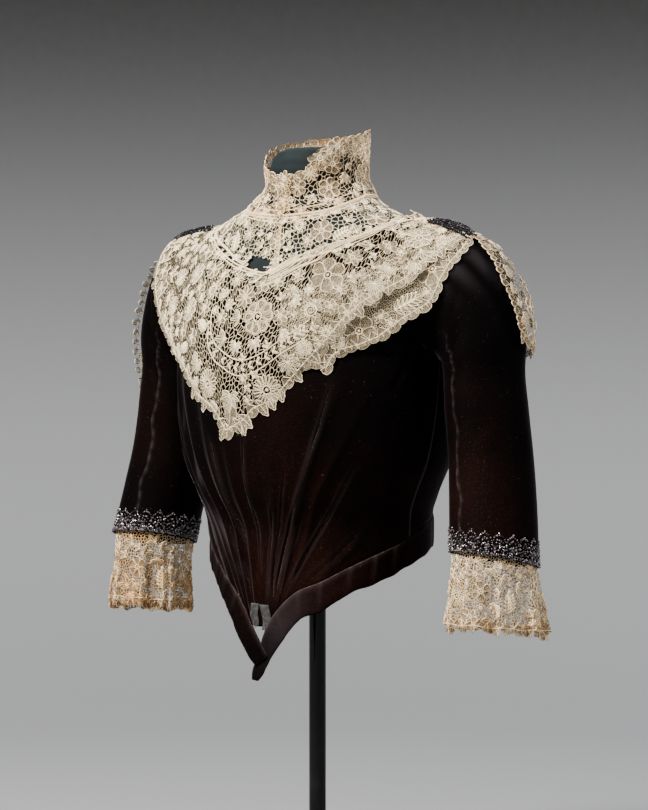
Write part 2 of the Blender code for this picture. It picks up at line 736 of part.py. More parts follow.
def evaluated_tree(objects):
    """A search tree over the finished outer shapes of some objects."""
    bpy.context.view_layer.update()
    graph = bpy.context.evaluated_depsgraph_get()
    points = []
    faces = []
    for obj in objects:
        mesh = obj.evaluated_get(graph).to_mesh()
        start = len(points)
        points.extend(vertex.co.copy() for vertex in mesh.vertices)
        faces.extend([start + i for i in polygon.vertices] for polygon in mesh.polygons)
    return BVHTree.FromPolygons(points, faces)


def ray(angle, rise):
    """The direction from the chest at an angle round it and a rise above level."""
    turn, up = math.radians(angle), math.radians(rise)
    return Vector((math.sin(turn) * math.cos(up), -math.cos(turn) * math.cos(up), math.sin(up)))


def rise_at(rows, angle):
    """The rise of an outline at an angle from the centre front."""
    return float(np.interp(angle, [row.angle for row in rows], [row.rise for row in rows]))


def beneath(tree, way):
    """How far along a ray from the chest the outermost cloth lies."""
    return (tree.ray_cast(CHEST + way * RAY_START, -way)[0] - CHEST).length


def drape(tree, ways, clearance):
    """Distances along a grid of directions from the chest to cloth laid over the shapes in a tree.

    clearance is a grid of distances from what lies beneath to the cloth's outer face. Each round draws the cloth
    tighter, so that it bridges hollows, and then lifts every cell that comes too close to what lies beneath.
    """
    reach = np.array([[beneath(tree, way) for way in row] for row in ways]) + clearance
    quarters = [k / SPOTS for k in range(SPOTS + 1)]
    spots = [((1 - a) * (1 - b), a * (1 - b), (1 - a) * b, a * b) for a in quarters for b in quarters]
    spots += [(1 - a, 0.0, 0.0, a) for a in quarters[1:-1]] + [(0.0, 1 - a, a, 0.0) for a in quarters[1:-1]]
    for _ in range(DRAPE_ROUNDS):
        padded = np.pad(reach, 1, mode="edge")
        mean = (padded[2:, 1:-1] + padded[:-2, 1:-1] + padded[1:-1, 2:] + padded[1:-1, :-2]) / 4
        reach = (reach + mean) / 2
        for i, j in np.ndindex(len(ways) - 1, len(ways[0]) - 1):
            corners = [(i, j), (i + 1, j), (i, j + 1), (i + 1, j + 1)]
            points = [ways[k][m] * reach[k, m] for k, m in corners]
            normal = (points[3] - points[0]).cross(points[2] - points[1]).normalized()
            for weights in spots:
                place = sum((p * w for p, w in zip(points, weights)), Vector())
                way = place.normalized()
                facing = max(abs(normal.dot(way)), STEEPEST)
                needed = sum(clearance[corner] * w for corner, w in zip(corners, weights)) / facing
                short = beneath(tree, way) + needed - place.length
                if short > 0.0:
                    for corner, w in zip(corners, weights):
                        reach[corner] += short * w
                    points = [ways[k][m] * reach[k, m] for k, m in corners]
    return reach


def hung_lace(name, finish, into, tree, top, hem, ends, size, wall, lift=None, gap_at=None):
    """A piece laid over others between two outlines, from one angle to another."""
    columns, rows = size
    angles = np.linspace(ends[0], ends[1], columns + 1)
    shares = np.linspace(0.0, 1.0, rows + 1)
    rises = [[rise_at(hem, a) * (1 - s) + rise_at(top, a) * s for s in shares] for a in angles]
    ways = [[ray(a, rises[i][j]) for j in range(rows + 1)] for i, a in enumerate(angles)]
    clearance = np.full((columns + 1, rows + 1), wall + DRAPE_GAP)
    if lift:
        clearance += np.array([[lift(a, rise) for rise in rises[i]] for i, a in enumerate(angles)])
    reach = drape(tree, ways, clearance)

    def point(u, v):
        i, j = round(u * columns), round(v * rows)
        return CHEST + ways[i][j] * reach[i, j]

    return cloth(name, finish, into, point, columns, rows, wall, gap_at=gap_at)


def swell(swells, angle, rise):
    """How far a piece stands off what lies beneath, as a sum of soft swellings."""
    total = 0.0
    for one in swells:
        off = ((angle - one.angle) / one.angle_reach) ** 2 + ((rise - one.rise) / one.rise_reach) ** 2
        total += one.depth * MM * math.exp(-off)
    return total


def bertha_gaps(pattern, period, phase, columns, rows):
    """A test for gaps between the bertha's motifs: every so many cells within a range of columns and rows."""

    def gap_at(i, j):
        hit = (pattern[0] * i + pattern[1] * j) % period == phase
        return BERTHA_GAP_RIM if hit and columns[0] <= i <= columns[1] and 0 < j <= rows else None

    return gap_at


def bertha(into, velvet):
    """The under tier, the over tier and the cape of the lace bertha, and the beads on its shoulders."""
    under = hung_lace(
        "bertha_under", "lace", into, evaluated_tree(velvet), BERTHA_TOP, UNDER_HEM, TIER_ENDS, (14, 6), LACE,
        lambda angle, rise: UNDER_TIER_SEAT, bertha_gaps((1, 2), 5, 1, (1, 12), 2),
    )
    cape = hung_lace(
        "bertha_back", "lace", into, evaluated_tree(velvet), CAPE_TOP, CAPE_HEM, CAPE_ENDS, (30, 8), LACE,
        lambda angle, rise: CAPE_SEAT + swell(CAPE_SWELLS, angle, rise), bertha_gaps((2, 3), 11, 3, (1, 28), 5),
    )
    over = hung_lace(
        "bertha_over", "lace", into, evaluated_tree(velvet + [under]), BERTHA_TOP, OVER_HEM, OVER_ENDS, (28, 8), LACE,
        lambda angle, rise: swell(OVER_SWELLS, angle, rise), bertha_gaps((2, 3), 8, 4, (5, 21), 6),
    )
    laid = evaluated_tree([under, cape, over] + velvet)
    low, high = SHOULDER_TRIM_RISE
    for label, middle in (("left", SHOULDER_TRIM_ANGLE), ("right", -SHOULDER_TRIM_ANGLE)):
        ends = (middle - SHOULDER_TRIM_WIDTH / 2, middle + SHOULDER_TRIM_WIDTH / 2)
        hem = [Way(ends[0], low), Way(ends[1], low)]
        top = [Way(ends[0], high), Way(ends[1], high)]
        hung_lace(
            "shoulder_trim_" + label, "jet", into, laid, top, hem, ends, (3, 6), SHOULDER_TRIM,
            lambda angle, rise: SHOULDER_TRIM_SEAT,
        )


def cuff_trim(into, side, label):
    """The bead border on the sleeve's end, with a scalloped upper edge."""

    def point(u, v):
        rise = TRIM_HEIGHT + TRIM_SCALLOP_RISE * abs(math.sin(math.pi * TRIM_SCALLOPS * u))
        return sleeve_point(1.0 - rise * v, 360.0 * u * -side, side, LAID_ON + BEADWORK)

    return cloth("cuff_trim_" + label, "jet", into, point, 2 * TRIM_SCALLOPS, 1, BEADWORK, closed=True)


def cuff_lace(into, side, label):
    """The gathered flounce, sewn inside the sleeve's end."""

    def point(u, v):
        down = RUFFLE_LENGTH * (1 - v) ** RUFFLE_CLOSENESS - RUFFLE_TUCK
        row = {name: SLEEVE_AT[name](1.0 + min(down, 0.0) / FOREARM) for name in SLEEVE_AT}
        free = max(down, 0.0) / (RUFFLE_LENGTH - RUFFLE_TUCK)
        turn = math.tau * u * -side
        spread = free * (RUFFLE_FLARE + RUFFLE_WAVE_DEPTH * math.cos(RUFFLE_WAVES * turn)) - RUFFLE_SEAT
        width = row["half_width"] * MM + spread
        depth = row["half_depth"] * MM + spread
        tilt = math.radians(row["tilt_front"]) * (1 - free / 2)
        place = Vector((row["x"], row["y"], row["z"])) * MM + RUFFLE_HANG * max(down, 0.0)
        place += Vector((width * math.cos(turn), 0.0, 0.0))
        place += Vector((0.0, math.cos(tilt), -math.sin(tilt))) * depth * math.sin(turn)
        return Vector((place.x * side, place.y, place.z))

    return cloth("cuff_lace_" + label, "lace", into, point, 4 * RUFFLE_WAVES, 3, LACE, closed=True)


def tape_tab(into, label):
    """A tab of tape that hangs from behind the velvet at the front point."""
    middle, bottom = TAPES[label]
    half = math.degrees(TAPE_WIDTH / 2 / BAND_SIDE)

    def point(u, v):
        angle = middle + half * (2 * u - 1)
        return body_offset(angle, bottom + (TAPE_TOP - bottom) * v, -VELVET - 2 * SEAM)

    return cloth("waist_tape_" + label, "tape", into, point, 2, 3, TAPE_WALL)


def yoke_gaps(columns):
    """A test for gaps between the yoke's motifs, in a range of columns."""

    def gap_at(i, j):
        return YOKE_GAP_RIM if (2 * i + 3 * j) % 4 == 2 and 0 < j < 4 and columns[0] <= i <= columns[1] else None

    return gap_at


def torn_yoke_gaps(i, j):
    """The right half's gaps, with the large one at its lower edge."""
    torn = j == 0 and TORN_COLUMNS[0] <= i <= TORN_COLUMNS[1]
    return -TEAR_RIM if torn else yoke_gaps((2, 9))(i, j)


def main():
    """Builds the whole part."""
    clear_scene()
    parts = collection("bodice_on_dress_form")
    cutters = collection("cutters")
    form = stand(parts)
    velvet = [
        front(parts, 1, "left", GATHERS_LEFT),
        front(parts, -1, "right", GATHERS_RIGHT),
        back(parts),
    ]
    for side, label in ((1, "left"), (-1, "right")):
        cutter = armhole_cutter(cutters, side, label)
        cut(velvet[0 if side > 0 else 1], cutter)
        cut(velvet[2], cutter)
        velvet += sleeve(parts, side, label)
        cuff_trim(parts, side, label)
        cuff_lace(parts, side, label)
        tape_tab(parts, label)
    waist_band(parts, 1, "left", BAND_LEFT, 0.0)
    waist_band(parts, -1, "right", BAND_RIGHT, BAND_WALL + 2 * SEAM)
    collar(parts, 1, "left", COLLAR_TOP_LEFT)
    collar(parts, -1, "right", COLLAR_TOP_RIGHT)
    yokes = [
        yoke(parts, "left", YOKE_LEFT, 11, yoke_gaps((0, 8))),
        yoke(parts, "right", YOKE_RIGHT, 11, torn_yoke_gaps),
        yoke(parts, "back", YOKE_BACK, 16, None),
    ]
    bertha(parts, [form] + velvet + yokes)


main()
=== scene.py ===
# %% [markdown]
# # A velvet bodice with a lace bertha, on a limbless dress form
# The real bodice is dark silk velvet, gathered to a point at the waist. Ivory needle lace makes the collar,
# the yoke, the two tiers on the front and the cape behind, and jet beads edge the sleeves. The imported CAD
# model is the frame that every piece is fitted to. It could be kept and only given materials, but its walls
# are coarse, so each cloth gets a finer shell on the same form, from the same tables of sizes.

import math
from collections import namedtuple

import bpy
import numpy as np
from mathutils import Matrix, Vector
from mathutils.bvhtree import BVHTree


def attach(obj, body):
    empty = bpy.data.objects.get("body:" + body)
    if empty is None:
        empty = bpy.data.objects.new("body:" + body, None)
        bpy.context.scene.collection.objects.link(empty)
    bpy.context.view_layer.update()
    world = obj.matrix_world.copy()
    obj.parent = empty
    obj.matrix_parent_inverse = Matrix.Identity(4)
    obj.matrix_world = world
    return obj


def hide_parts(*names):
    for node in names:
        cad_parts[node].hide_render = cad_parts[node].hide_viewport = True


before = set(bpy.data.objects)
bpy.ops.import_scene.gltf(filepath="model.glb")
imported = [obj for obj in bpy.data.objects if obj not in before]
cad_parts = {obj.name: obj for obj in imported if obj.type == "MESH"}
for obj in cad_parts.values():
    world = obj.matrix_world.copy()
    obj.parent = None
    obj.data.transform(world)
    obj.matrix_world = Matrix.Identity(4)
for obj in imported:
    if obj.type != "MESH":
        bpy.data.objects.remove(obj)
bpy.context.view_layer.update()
MM = 0.001
chance = np.random.default_rng(1905)
print("CAD nodes:", len(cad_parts))

# %% [markdown]
# ## Camera and studio
# The photo looks at the bodice from its left front, level with the bust, from a few metres away. A long lens
# keeps the sleeves the same size as they are there. The backdrop could be a flat wall, but the object is
# also seen from the sides and the back, so a round bowl stands about it: its floor curves up into its wall,
# and it is drawn only where its inner face shows.

# %% The camera
CAMERA_TURN = math.radians(40.0)
CAMERA_DISTANCE = 3.4
CAMERA_HEIGHT = 0.671
FRAME_HEIGHT = 0.8586
AIM_ACROSS = 0.0069
AIM_HEIGHT = 0.549
SENSOR_WIDTH = 36.0


def put_in_scene(thing):
    """Links a new object to the scene."""
    bpy.context.scene.collection.objects.link(thing)


lens_data = bpy.data.cameras.new("camera")
lens_data.sensor_width = SENSOR_WIDTH
lens_data.lens = lens_data.sensor_width * CAMERA_DISTANCE / FRAME_HEIGHT
camera = bpy.data.objects.new("camera", lens_data)
put_in_scene(camera)
across, away = math.cos(CAMERA_TURN), math.sin(CAMERA_TURN)
eye = Vector((away * CAMERA_DISTANCE, -across * CAMERA_DISTANCE, CAMERA_HEIGHT))
aim = Vector((across * AIM_ACROSS, away * AIM_ACROSS, AIM_HEIGHT))
camera.location = eye
camera.rotation_euler = (aim - eye).to_track_quat("-Z", "Y").to_euler()
bpy.context.scene.camera = camera
print("lens", round(lens_data.lens, 1), "mm")

# %% [markdown]
# Meshes are made from arrays of points in millimetres, because most pieces here are grids of a few thousand
# points. One function turns such arrays into a named mesh with its finish, its cloth coordinates and its
# masks.

# %% Meshes from arrays
def share_grid(columns, rows):
    """Shares of the way along and across a grid of points."""
    return np.meshgrid(np.linspace(0, 1, columns + 1), np.linspace(0, 1, rows + 1), indexing="ij")


def grid_faces(columns, rows, closed=False):
    """Faces of a grid of points, columns first. A closed grid joins its last column to its first."""
    around = columns if closed else columns + 1
    i, j = np.meshgrid(np.arange(columns), np.arange(rows), indexing="ij")
    k = (i + 1) % around
    low, high = i * (rows + 1) + j, k * (rows + 1) + j
    return np.stack([low, high, high + 1, low + 1], axis=-1).reshape(-1, 4)


def new_mesh(name, points, faces, finish, cloth_place=None, masks=None, smooth=True):
    """A mesh object from points in millimetres, with an optional UV map in millimetres and masks by point."""
    mesh = bpy.data.meshes.new(name)
    mesh.from_pydata((np.asarray(points, float).reshape(-1, 3) * MM).tolist(), [], np.asarray(faces).tolist())
    if cloth_place is not None:
        corner = np.empty(len(mesh.loops), np.int32)
        mesh.loops.foreach_get("vertex_index", corner)
        layer = mesh.uv_layers.new(name="cloth")
        layer.data.foreach_set("uv", np.asarray(cloth_place, np.float32).reshape(-1, 2)[corner].ravel())
    for key, values in (masks or {}).items():
        held = mesh.attributes.new(key, "FLOAT", "POINT")
        held.data.foreach_set("value", np.asarray(values, np.float32).ravel())
    mesh.validate()
    if smooth:
        mesh.shade_smooth()
    mesh.materials.append(finish)
    made = bpy.data.objects.new(name, mesh)
    put_in_scene(made)
    return made


def thicken(piece, wall):
    """Gives a sheet a wall inwards from its outer face."""
    solid = piece.modifiers.new("Wall", "SOLIDIFY")
    solid.thickness = wall * MM
    solid.offset = -1.0
    solid.use_quality_normals = True


def dress(piece, slot, *nodes):
    """Lets a piece ride with the object, for the CAD nodes that it stands for. The slot is not used."""
    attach(piece, "root")
    if nodes:
        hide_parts(*nodes)
    return piece

# %% [markdown]
# Materials are trees of nodes. A short helper adds one node, sets its values and links its inputs, so that
# each tree reads as a list of steps.

# %% Nodes for materials
def add(tree, kind, inputs=None, **settings):
    """Adds a node. An input is a value, or a socket that is linked to it."""
    made = tree.nodes.new(kind)
    for key, value in settings.items():
        setattr(made, key, value)
    for key, value in (inputs or {}).items():
        if isinstance(value, bpy.types.NodeSocket):
            tree.links.new(value, made.inputs[key])
        else:
            made.inputs[key].default_value = value
    return made


def connect(tree, node, **values):
    """Links sockets to a node's inputs, whose names have underscores for spaces here."""
    for key, value in values.items():
        tree.links.new(value, node.inputs[key.replace("_", " ")])


def maths(tree, operation, *values):
    """The result of a Math node."""
    return add(tree, "ShaderNodeMath", dict(enumerate(values)), operation=operation).outputs[0]


def times(tree, first, second):
    """The product of two values."""
    return maths(tree, "MULTIPLY", first, second)


def blend(tree, share, first, second, **settings):
    """A colour between two others."""
    sockets = {0: share, 6: first, 7: second}
    return add(tree, "ShaderNodeMix", sockets, data_type="RGBA", **settings).outputs[2]


def between(tree, value, low, high):
    """A mask that rises smoothly from 0 at low to 1 at high."""
    sockets = {"Value": value, "From Min": low, "From Max": high}
    return add(tree, "ShaderNodeMapRange", sockets, interpolation_type="SMOOTHSTEP").outputs[0]


def noise(tree, place, scale, detail=3.0, roughness=0.5):
    """Soft noise at a scale in cycles for each metre."""
    sockets = {"Vector": place, "Scale": scale, "Detail": detail, "Roughness": roughness}
    return add(tree, "ShaderNodeTexNoise", sockets).outputs[0]


def new_group(name, inputs, outputs, kind="Shader"):
    """A node group with named sockets. Returns the group and its two end nodes."""
    made = bpy.data.node_groups.new(name, kind + "NodeTree")
    for label, holds, value in inputs:
        socket = made.interface.new_socket(label, in_out="INPUT", socket_type="NodeSocket" + holds)
        if value is not None:
            socket.default_value = value
    for label, holds in outputs:
        made.interface.new_socket(label, in_out="OUTPUT", socket_type="NodeSocket" + holds)
    return made, made.nodes.new("NodeGroupInput"), made.nodes.new("NodeGroupOutput")


def new_material(name, **sockets):
    """A material whose shader's plain sockets are set here. Returns material, tree and shader."""
    made = bpy.data.materials.new(name)
    made.use_nodes = True
    shader = made.node_tree.nodes["Principled BSDF"]
    for key, value in sockets.items():
        shader.inputs[key.replace("_", " ")].default_value = value
    return made, made.node_tree, shader


def object_place(tree):
    """The place on the object, in metres."""
    return add(tree, "ShaderNodeTexCoord").outputs["Object"]


def on_cloth(tree):
    """The place on the cloth, in millimetres."""
    return add(tree, "ShaderNodeUVMap", uv_map="cloth").outputs[0]


def mask(tree, name):
    """A mask stored on the mesh's points."""
    return add(tree, "ShaderNodeAttribute", attribute_name=name).outputs["Fac"]


def raise_surface(tree, shader, height, distance, strength=1.0):
    """Lets a height in shares of a distance in metres catch the light."""
    bump = add(tree, "ShaderNodeBump", {"Height": height, "Distance": distance, "Strength": strength})
    connect(tree, shader, Normal=bump.outputs[0])

# %% The backdrop and the lights
BOWL_FLOOR = 1.5
BOWL_RADIUS = 2.6
BOWL_WALL = 4.2
BOWL_BELOW = 0.001
PAPER_LOW, PAPER_PALE = (0.236, 0.246, 0.262, 1), (0.290, 0.301, 0.318, 1)
PAPER_TOP_SHADE, PAPER_FIBRE = (0.0085, 0.0088, 0.0095, 1), (0.8, 0.8, 0.8, 1)


def backdrop_material():
    """Grey paper with a painted gradient of light and shade, darker towards its top, that is clear from
    behind.
    """
    made, tree, shader = new_material("backdrop_paper", Roughness=0.95)
    split = add(tree, "ShaderNodeSeparateXYZ", {0: object_place(tree)})
    # Painted light and shade: paler just above the floor than on it, and much darker up the wall.
    climb = between(tree, split.outputs[2], 0.05, 1.38)
    floor = between(tree, split.outputs[2], 0.0, 0.45)
    colour = blend(tree, climb, blend(tree, floor, PAPER_LOW, PAPER_PALE), PAPER_TOP_SHADE)
    grain = noise(tree, object_place(tree), 60.0)
    colour = blend(tree, times(tree, grain, 0.012), colour, PAPER_FIBRE)
    connect(tree, shader, Base_Color=colour)
    clear = add(tree, "ShaderNodeBsdfTransparent")
    facing = add(tree, "ShaderNodeNewGeometry").outputs["Backfacing"]
    both = add(tree, "ShaderNodeMixShader", {0: facing, 1: shader.outputs[0], 2: clear.outputs[0]})
    connect(tree, tree.nodes["Material Output"], Surface=both.outputs[0])
    return made


def turned(name, profile, finish, sides=96):
    """A piece turned about the upright axis from a profile of radii and heights, in their order."""
    turns = np.linspace(0.0, math.tau, sides, endpoint=False)
    radii, heights = np.array(profile, float).T
    x, y = np.outer(np.sin(turns), radii), -np.outer(np.cos(turns), radii)
    points = np.stack([x, y, np.outer(np.ones(sides), heights)], axis=-1)
    return new_mesh(name, points, grid_faces(sides, len(profile) - 1, closed=True), finish)


bend = [math.radians(10.0 * step) for step in range(1, 10)]
curve = BOWL_RADIUS - BOWL_FLOOR
bowl_profile = [(0.02, 0.0), (BOWL_FLOOR, 0.0)]
bowl_profile += [(BOWL_FLOOR + curve * math.sin(a), curve * (1 - math.cos(a))) for a in bend]
bowl_profile += [(BOWL_RADIUS, BOWL_WALL)]
bowl = turned("backdrop", [(r / MM, (z - BOWL_BELOW) / MM) for r, z in bowl_profile], backdrop_material())
bowl.data.flip_normals()
bowl.visible_shadow = False


LAMPS_AIM = Vector((0.0, 0.0, 0.6))
ROOM_COLOUR, ROOM_STRENGTH = (0.57, 0.57, 0.58, 1.0), 0.17


def soft_box(name, turn, rise, distance, size, power, colour=(1.0, 1.0, 1.0)):
    """A square lamp that looks at the bodice from an angle round it and a rise above level."""
    data = bpy.data.lights.new(name, "AREA")
    data.shape = "SQUARE"
    data.size = size
    data.energy = power
    data.color = colour
    lamp = bpy.data.objects.new(name, data)
    angle, up = math.radians(turn), math.radians(rise)
    way = Vector((math.sin(angle) * math.cos(up), -math.cos(angle) * math.cos(up), math.sin(up)))
    lamp.location = LAMPS_AIM + way * distance
    lamp.rotation_euler = (-way).to_track_quat("-Z", "Y").to_euler()
    put_in_scene(lamp)


soft_box("key", -16.0, 44.0, 2.3, 0.55, 215.0, (1.0, 0.955, 0.88))
soft_box("fill", 100.0, 28.0, 2.4, 1.0, 40.0, (0.98, 0.98, 1.0))
soft_box("back_left", 190.0, 40.0, 2.4, 1.0, 30.0)
soft_box("top", 60.0, 80.0, 2.2, 1.2, 16.0)
world = bpy.data.worlds.new("studio")
world.use_nodes = True
room = world.node_tree.nodes["Background"].inputs
room["Color"].default_value = ROOM_COLOUR
room["Strength"].default_value = ROOM_STRENGTH
bpy.context.scene.world = world

# %% [markdown]
# ## Velvet
# Silk velvet is nearly black when one looks down into the pile and pale where the pile leans away. A
# red-brown cast is painted where strong light falls on it, with painted glints in it. Creases get a thin
# brown line, partly rubbed pile and partly a painted highlight, and ridges get a painted plum-grey sheen
# highlight. The painted cast and the pile's drift are noise, the rubbed and the highlit places are masks
# that each piece brings, and the sheen on slanting faces is the shader's own.

# %% The pile, shared by all the velvet
PILE_DEEP, PILE_LIT_WARM = (0.0007, 0.0004, 0.0005, 1), (0.0060, 0.0015, 0.0009, 1)
PILE_GLINT, PILE_DUST = (0.0130, 0.0036, 0.0024, 1), (0.12, 0.10, 0.095, 1)
PILE_PAINTED_SHEEN, PILE_RUB_AND_HIGHLIGHT = (0.056, 0.047, 0.052, 1), (0.115, 0.070, 0.056, 1)
pile, ends_in, ends_out = new_group(
    "velvet_pile",
    [("Place", "Vector", None)] + [(name, "Float", 0.0) for name in ("Warm", "Worn", "Brushed", "Line")],
    [("Colour", "Color"), ("Height", "Float"), ("Roughness", "Float")],
)
place = ends_in.outputs["Place"]
drift = noise(pile, place, 9.0, 4.0, 0.55)
speckle = noise(pile, place, 620.0, 1.0, 0.5)
dust = noise(pile, place, 430.0, 2.0, 0.7)
tufts = noise(pile, place, 420.0, 3.0, 0.6)
# Painted light: red-brown where light falls, with painted glints speckled in it.
warm = times(pile, ends_in.outputs["Warm"], between(pile, drift, 0.30, 0.68))
deep = blend(pile, warm, PILE_DEEP, PILE_LIT_WARM)
dotted = blend(pile, times(pile, warm, between(pile, speckle, 0.52, 0.68)), deep, PILE_GLINT)
flecked = blend(pile, times(pile, between(pile, dust, 0.69, 0.76), 0.30), dotted, PILE_DUST)
near_line = maths(pile, "ABSOLUTE", ends_in.outputs["Line"])
thin = maths(pile, "SUBTRACT", 1.0, between(pile, near_line, 0.15, 0.65))
# A thin pale line in creases and seams: partly rubbed pile, partly a painted highlight.
rub_and_highlight = times(pile, times(pile, ends_in.outputs["Worn"], thin), between(pile, tufts, 0.30, 0.60))
# Painted sheen highlight: plum grey where light catches ridges, crests, seams and edges.
brushed = times(pile, ends_in.outputs["Brushed"], between(pile, drift, 0.20, 0.55))
greyed = blend(pile, times(pile, brushed, 0.8), flecked, PILE_PAINTED_SHEEN)
rubbed_and_lit = blend(pile, rub_and_highlight, greyed, PILE_RUB_AND_HIGHLIGHT)
pile_height = maths(pile, "ADD", times(pile, speckle, 0.6), tufts)
pile_rough = maths(pile, "ADD", times(pile, tufts, 0.2), 0.62)
connect(pile, ends_out, Colour=rubbed_and_lit, Height=pile_height, Roughness=pile_rough)


def velvet_material():
    """Dark silk velvet with the shader's plum-grey sheen and painted plum-grey sheen highlights."""
    sheen = {"Sheen_Weight": 0.22, "Sheen_Roughness": 0.22, "Sheen_Tint": (0.46, 0.38, 0.43, 1)}
    made, tree, shader = new_material("silk_velvet", IOR=1.3, Specular_IOR_Level=0.05, **sheen)
    masks = {name.capitalize(): mask(tree, name) for name in ("warm", "worn", "brushed", "line")}
    group = add(tree, "ShaderNodeGroup", node_tree=pile)
    connect(tree, group, Place=object_place(tree), **masks)
    connect(tree, shader, Base_Color=group.outputs["Colour"], Roughness=group.outputs["Roughness"])
    raise_surface(tree, shader, group.outputs["Height"], 0.0006, 0.5)
    return made


velvet = velvet_material()
print("velvet nodes in the pile:", len(pile.nodes))

# %% [markdown]
# ## The bodice's form
# The torso is a stack of ovals whose fronts and backs have their own depths. The same numbers make the CAD
# solids, so each shell here lies on its solid. All sizes are millimetres and degrees, and an angle runs from
# the centre front towards the wearer's left.

# %% Curves through tables
def clamped(value):
    """A value kept between 0 and 1."""
    return np.clip(value, 0, 1)


def eased(share):
    """A share that starts and ends gently."""
    return share * share * (3 - 2 * share)


def bell(off):
    """A smooth swelling, 1 in its middle, that falls off on both sides."""
    return np.exp(-(off**2))


def table(columns, rows):
    """A table with named columns."""
    return [columns(*row) for row in rows]


def curve_through(places, values):
    """A smooth function through the given values, level beyond both ends."""
    places, values = np.array(places, float), np.array(values, float)
    slopes = np.gradient(values, places)

    def value(at):
        at = np.asarray(at, float)
        i = np.clip(np.searchsorted(places, at) - 1, 0, len(places) - 2)
        step = places[i + 1] - places[i]
        u = clamped((at - places[i]) / step)
        start = (1 + 2 * u) * (1 - u) ** 2 * values[i] + u * (1 - u) ** 2 * step * slopes[i]
        return start + u * u * (3 - 2 * u) * values[i + 1] + u * u * (u - 1) * step * slopes[i + 1]

    return value


def columns_of(rows):
    """One smooth function of a table's first column for each other column."""
    names = rows[0]._fields
    first = [row[0] for row in rows]
    return {name: curve_through(first, [getattr(row, name) for row in rows]) for name in names[1:]}


Section = namedtuple("Section", "height side front back")
BODICE = table(Section, [
    (330, 125, 93, 116), (400, 125.5, 96, 116), (425, 126, 99, 115.5), (440, 127, 105, 116.5),
    (458, 133, 114, 122), (490, 147.5, 122, 131), (530, 157.5, 125, 131), (580, 163, 124, 126),
    (630, 165, 114, 117), (665, 164, 101, 109), (690, 161, 86, 99.5), (710, 154, 75, 90),
    (725, 145, 68, 82), (737, 130, 63.5, 74), (746, 112, 60.5, 68), (754, 92, 58.5, 63.5),
    (762, 75, 57, 60), (772, 63, 56, 58), (790, 58, 54, 56),
])
NECK = Section(785, 54.4, 52.4, 53.6)
NECK_DRAW_IN = 20.0
Edge = namedtuple("Edge", "angle height")
NECKLINE = table(Edge, [
    (0, 690), (15, 697), (29, 713), (55, 732), (80, 742), (95, 746), (180, 744),
])
COLLAR_SEAM = table(Edge, [
    (0, 747), (30, 751), (60, 761), (90, 769), (180, 772),
])
BODICE_AT = columns_of(BODICE)


def edge_height(rows, angle):
    """The height of an edge at an angle from the centre front."""
    turned_by = np.abs((np.asarray(angle, float) + 180.0) % 360.0 - 180.0)
    return np.interp(turned_by, [row.angle for row in rows], [row.height for row in rows])


def oval(side, front, back, angle, height):
    """Points of an oval section at angles from the centre front."""
    turn = np.radians(angle)
    depth = np.where(np.cos(turn) > 0, front, back)
    return np.stack(np.broadcast_arrays(side * np.sin(turn), -depth * np.cos(turn), height), axis=-1)


def body_point(angle, height):
    """Points of the bodice's smooth outer face, which draws in to the neck above the collar's seam."""
    seam = edge_height(COLLAR_SEAM, angle)
    rise = clamped((height - seam) / NECK_DRAW_IN)
    low = {name: BODICE_AT[name](np.minimum(height, seam)) for name in BODICE_AT}
    sizes = {name: low[name] + (getattr(NECK, name) - low[name]) * eased(rise) for name in low}
    return oval(sizes["side"], sizes["front"], sizes["back"], angle, height)


def unit(vectors):
    """Vectors of length one."""
    return vectors / np.maximum(np.linalg.norm(vectors, axis=-1, keepdims=True), 1e-9)


def body_offset(angle, height, distance):
    """Points at a distance outside the smooth outer face."""
    across = body_point(angle + 0.5, height) - body_point(angle - 0.5, height)
    up = body_point(angle, height + 0.5) - body_point(angle, height - 0.5)
    return body_point(angle, height) + unit(np.cross(across, up)) * np.asarray(distance)[..., None]

# %% [markdown]
# The waist band hangs below the waist seam and ends in two tabs that cross at the front point. Its edges are
# given from the centre back to the front point, and the velvet's lower edge follows its upper edge.

# %% The band's edges
Strip = namedtuple("Strip", "upper_angle upper_height lower_angle lower_height")
BAND_BEHIND = table(Strip, [
    (179.8, 440, 179.8, 410), (150, 439, 150, 408.5), (126, 434, 126, 403), (103, 424, 103, 394),
])
BAND_LEFT = BAND_BEHIND + table(Strip, [
    (82, 410, 82, 381), (61, 396, 61, 367), (47, 384, 47, 356), (34, 370.5, 35, 341), (20.3, 358, 23, 330),
    (11.5, 341, 17.5, 318), (6.4, 327, 12.5, 304), (2.6, 311, 8, 291), (-0.6, 291, 4.6, 279),
    (-4.2, 272, 1.6, 268), (-4.4, 265, -0.2, 264),
])
BAND_RIGHT = BAND_BEHIND + table(Strip, [
    (82, 416, 82, 389), (61, 408, 61, 383), (45, 397, 46, 374), (33, 383, 35, 360), (21, 364, 27, 343),
    (13, 351, 20.5, 328), (7, 336, 14.5, 311), (2.6, 320, 9, 298), (-2.2, 304, 4.6, 287),
    (-5.8, 292, 1.4, 281),
])
BAND_SIDE, BAND_FRONT, BAND_BACK, BAND_WALL = 126.5, 95.5, 117.0, 2.0
WAIST_GAP = 0.9
FRONT_HEM = 336.5


def strip_columns(rows):
    """Smooth functions for a strip's edges, by the share of its length from the centre back."""
    middles = [
        ((row.upper_angle + row.lower_angle) / 2, (row.upper_height + row.lower_height) / 2) for row in rows
    ]
    around = math.radians(1.0) * BAND_SIDE
    runs = [math.hypot((b[0] - a[0]) * around, b[1] - a[1]) for a, b in zip(middles, middles[1:])]
    places = np.concatenate(([0.0], np.cumsum(runs))) / sum(runs)
    return [curve_through(places, [row[i] for row in rows]) for i in range(4)]


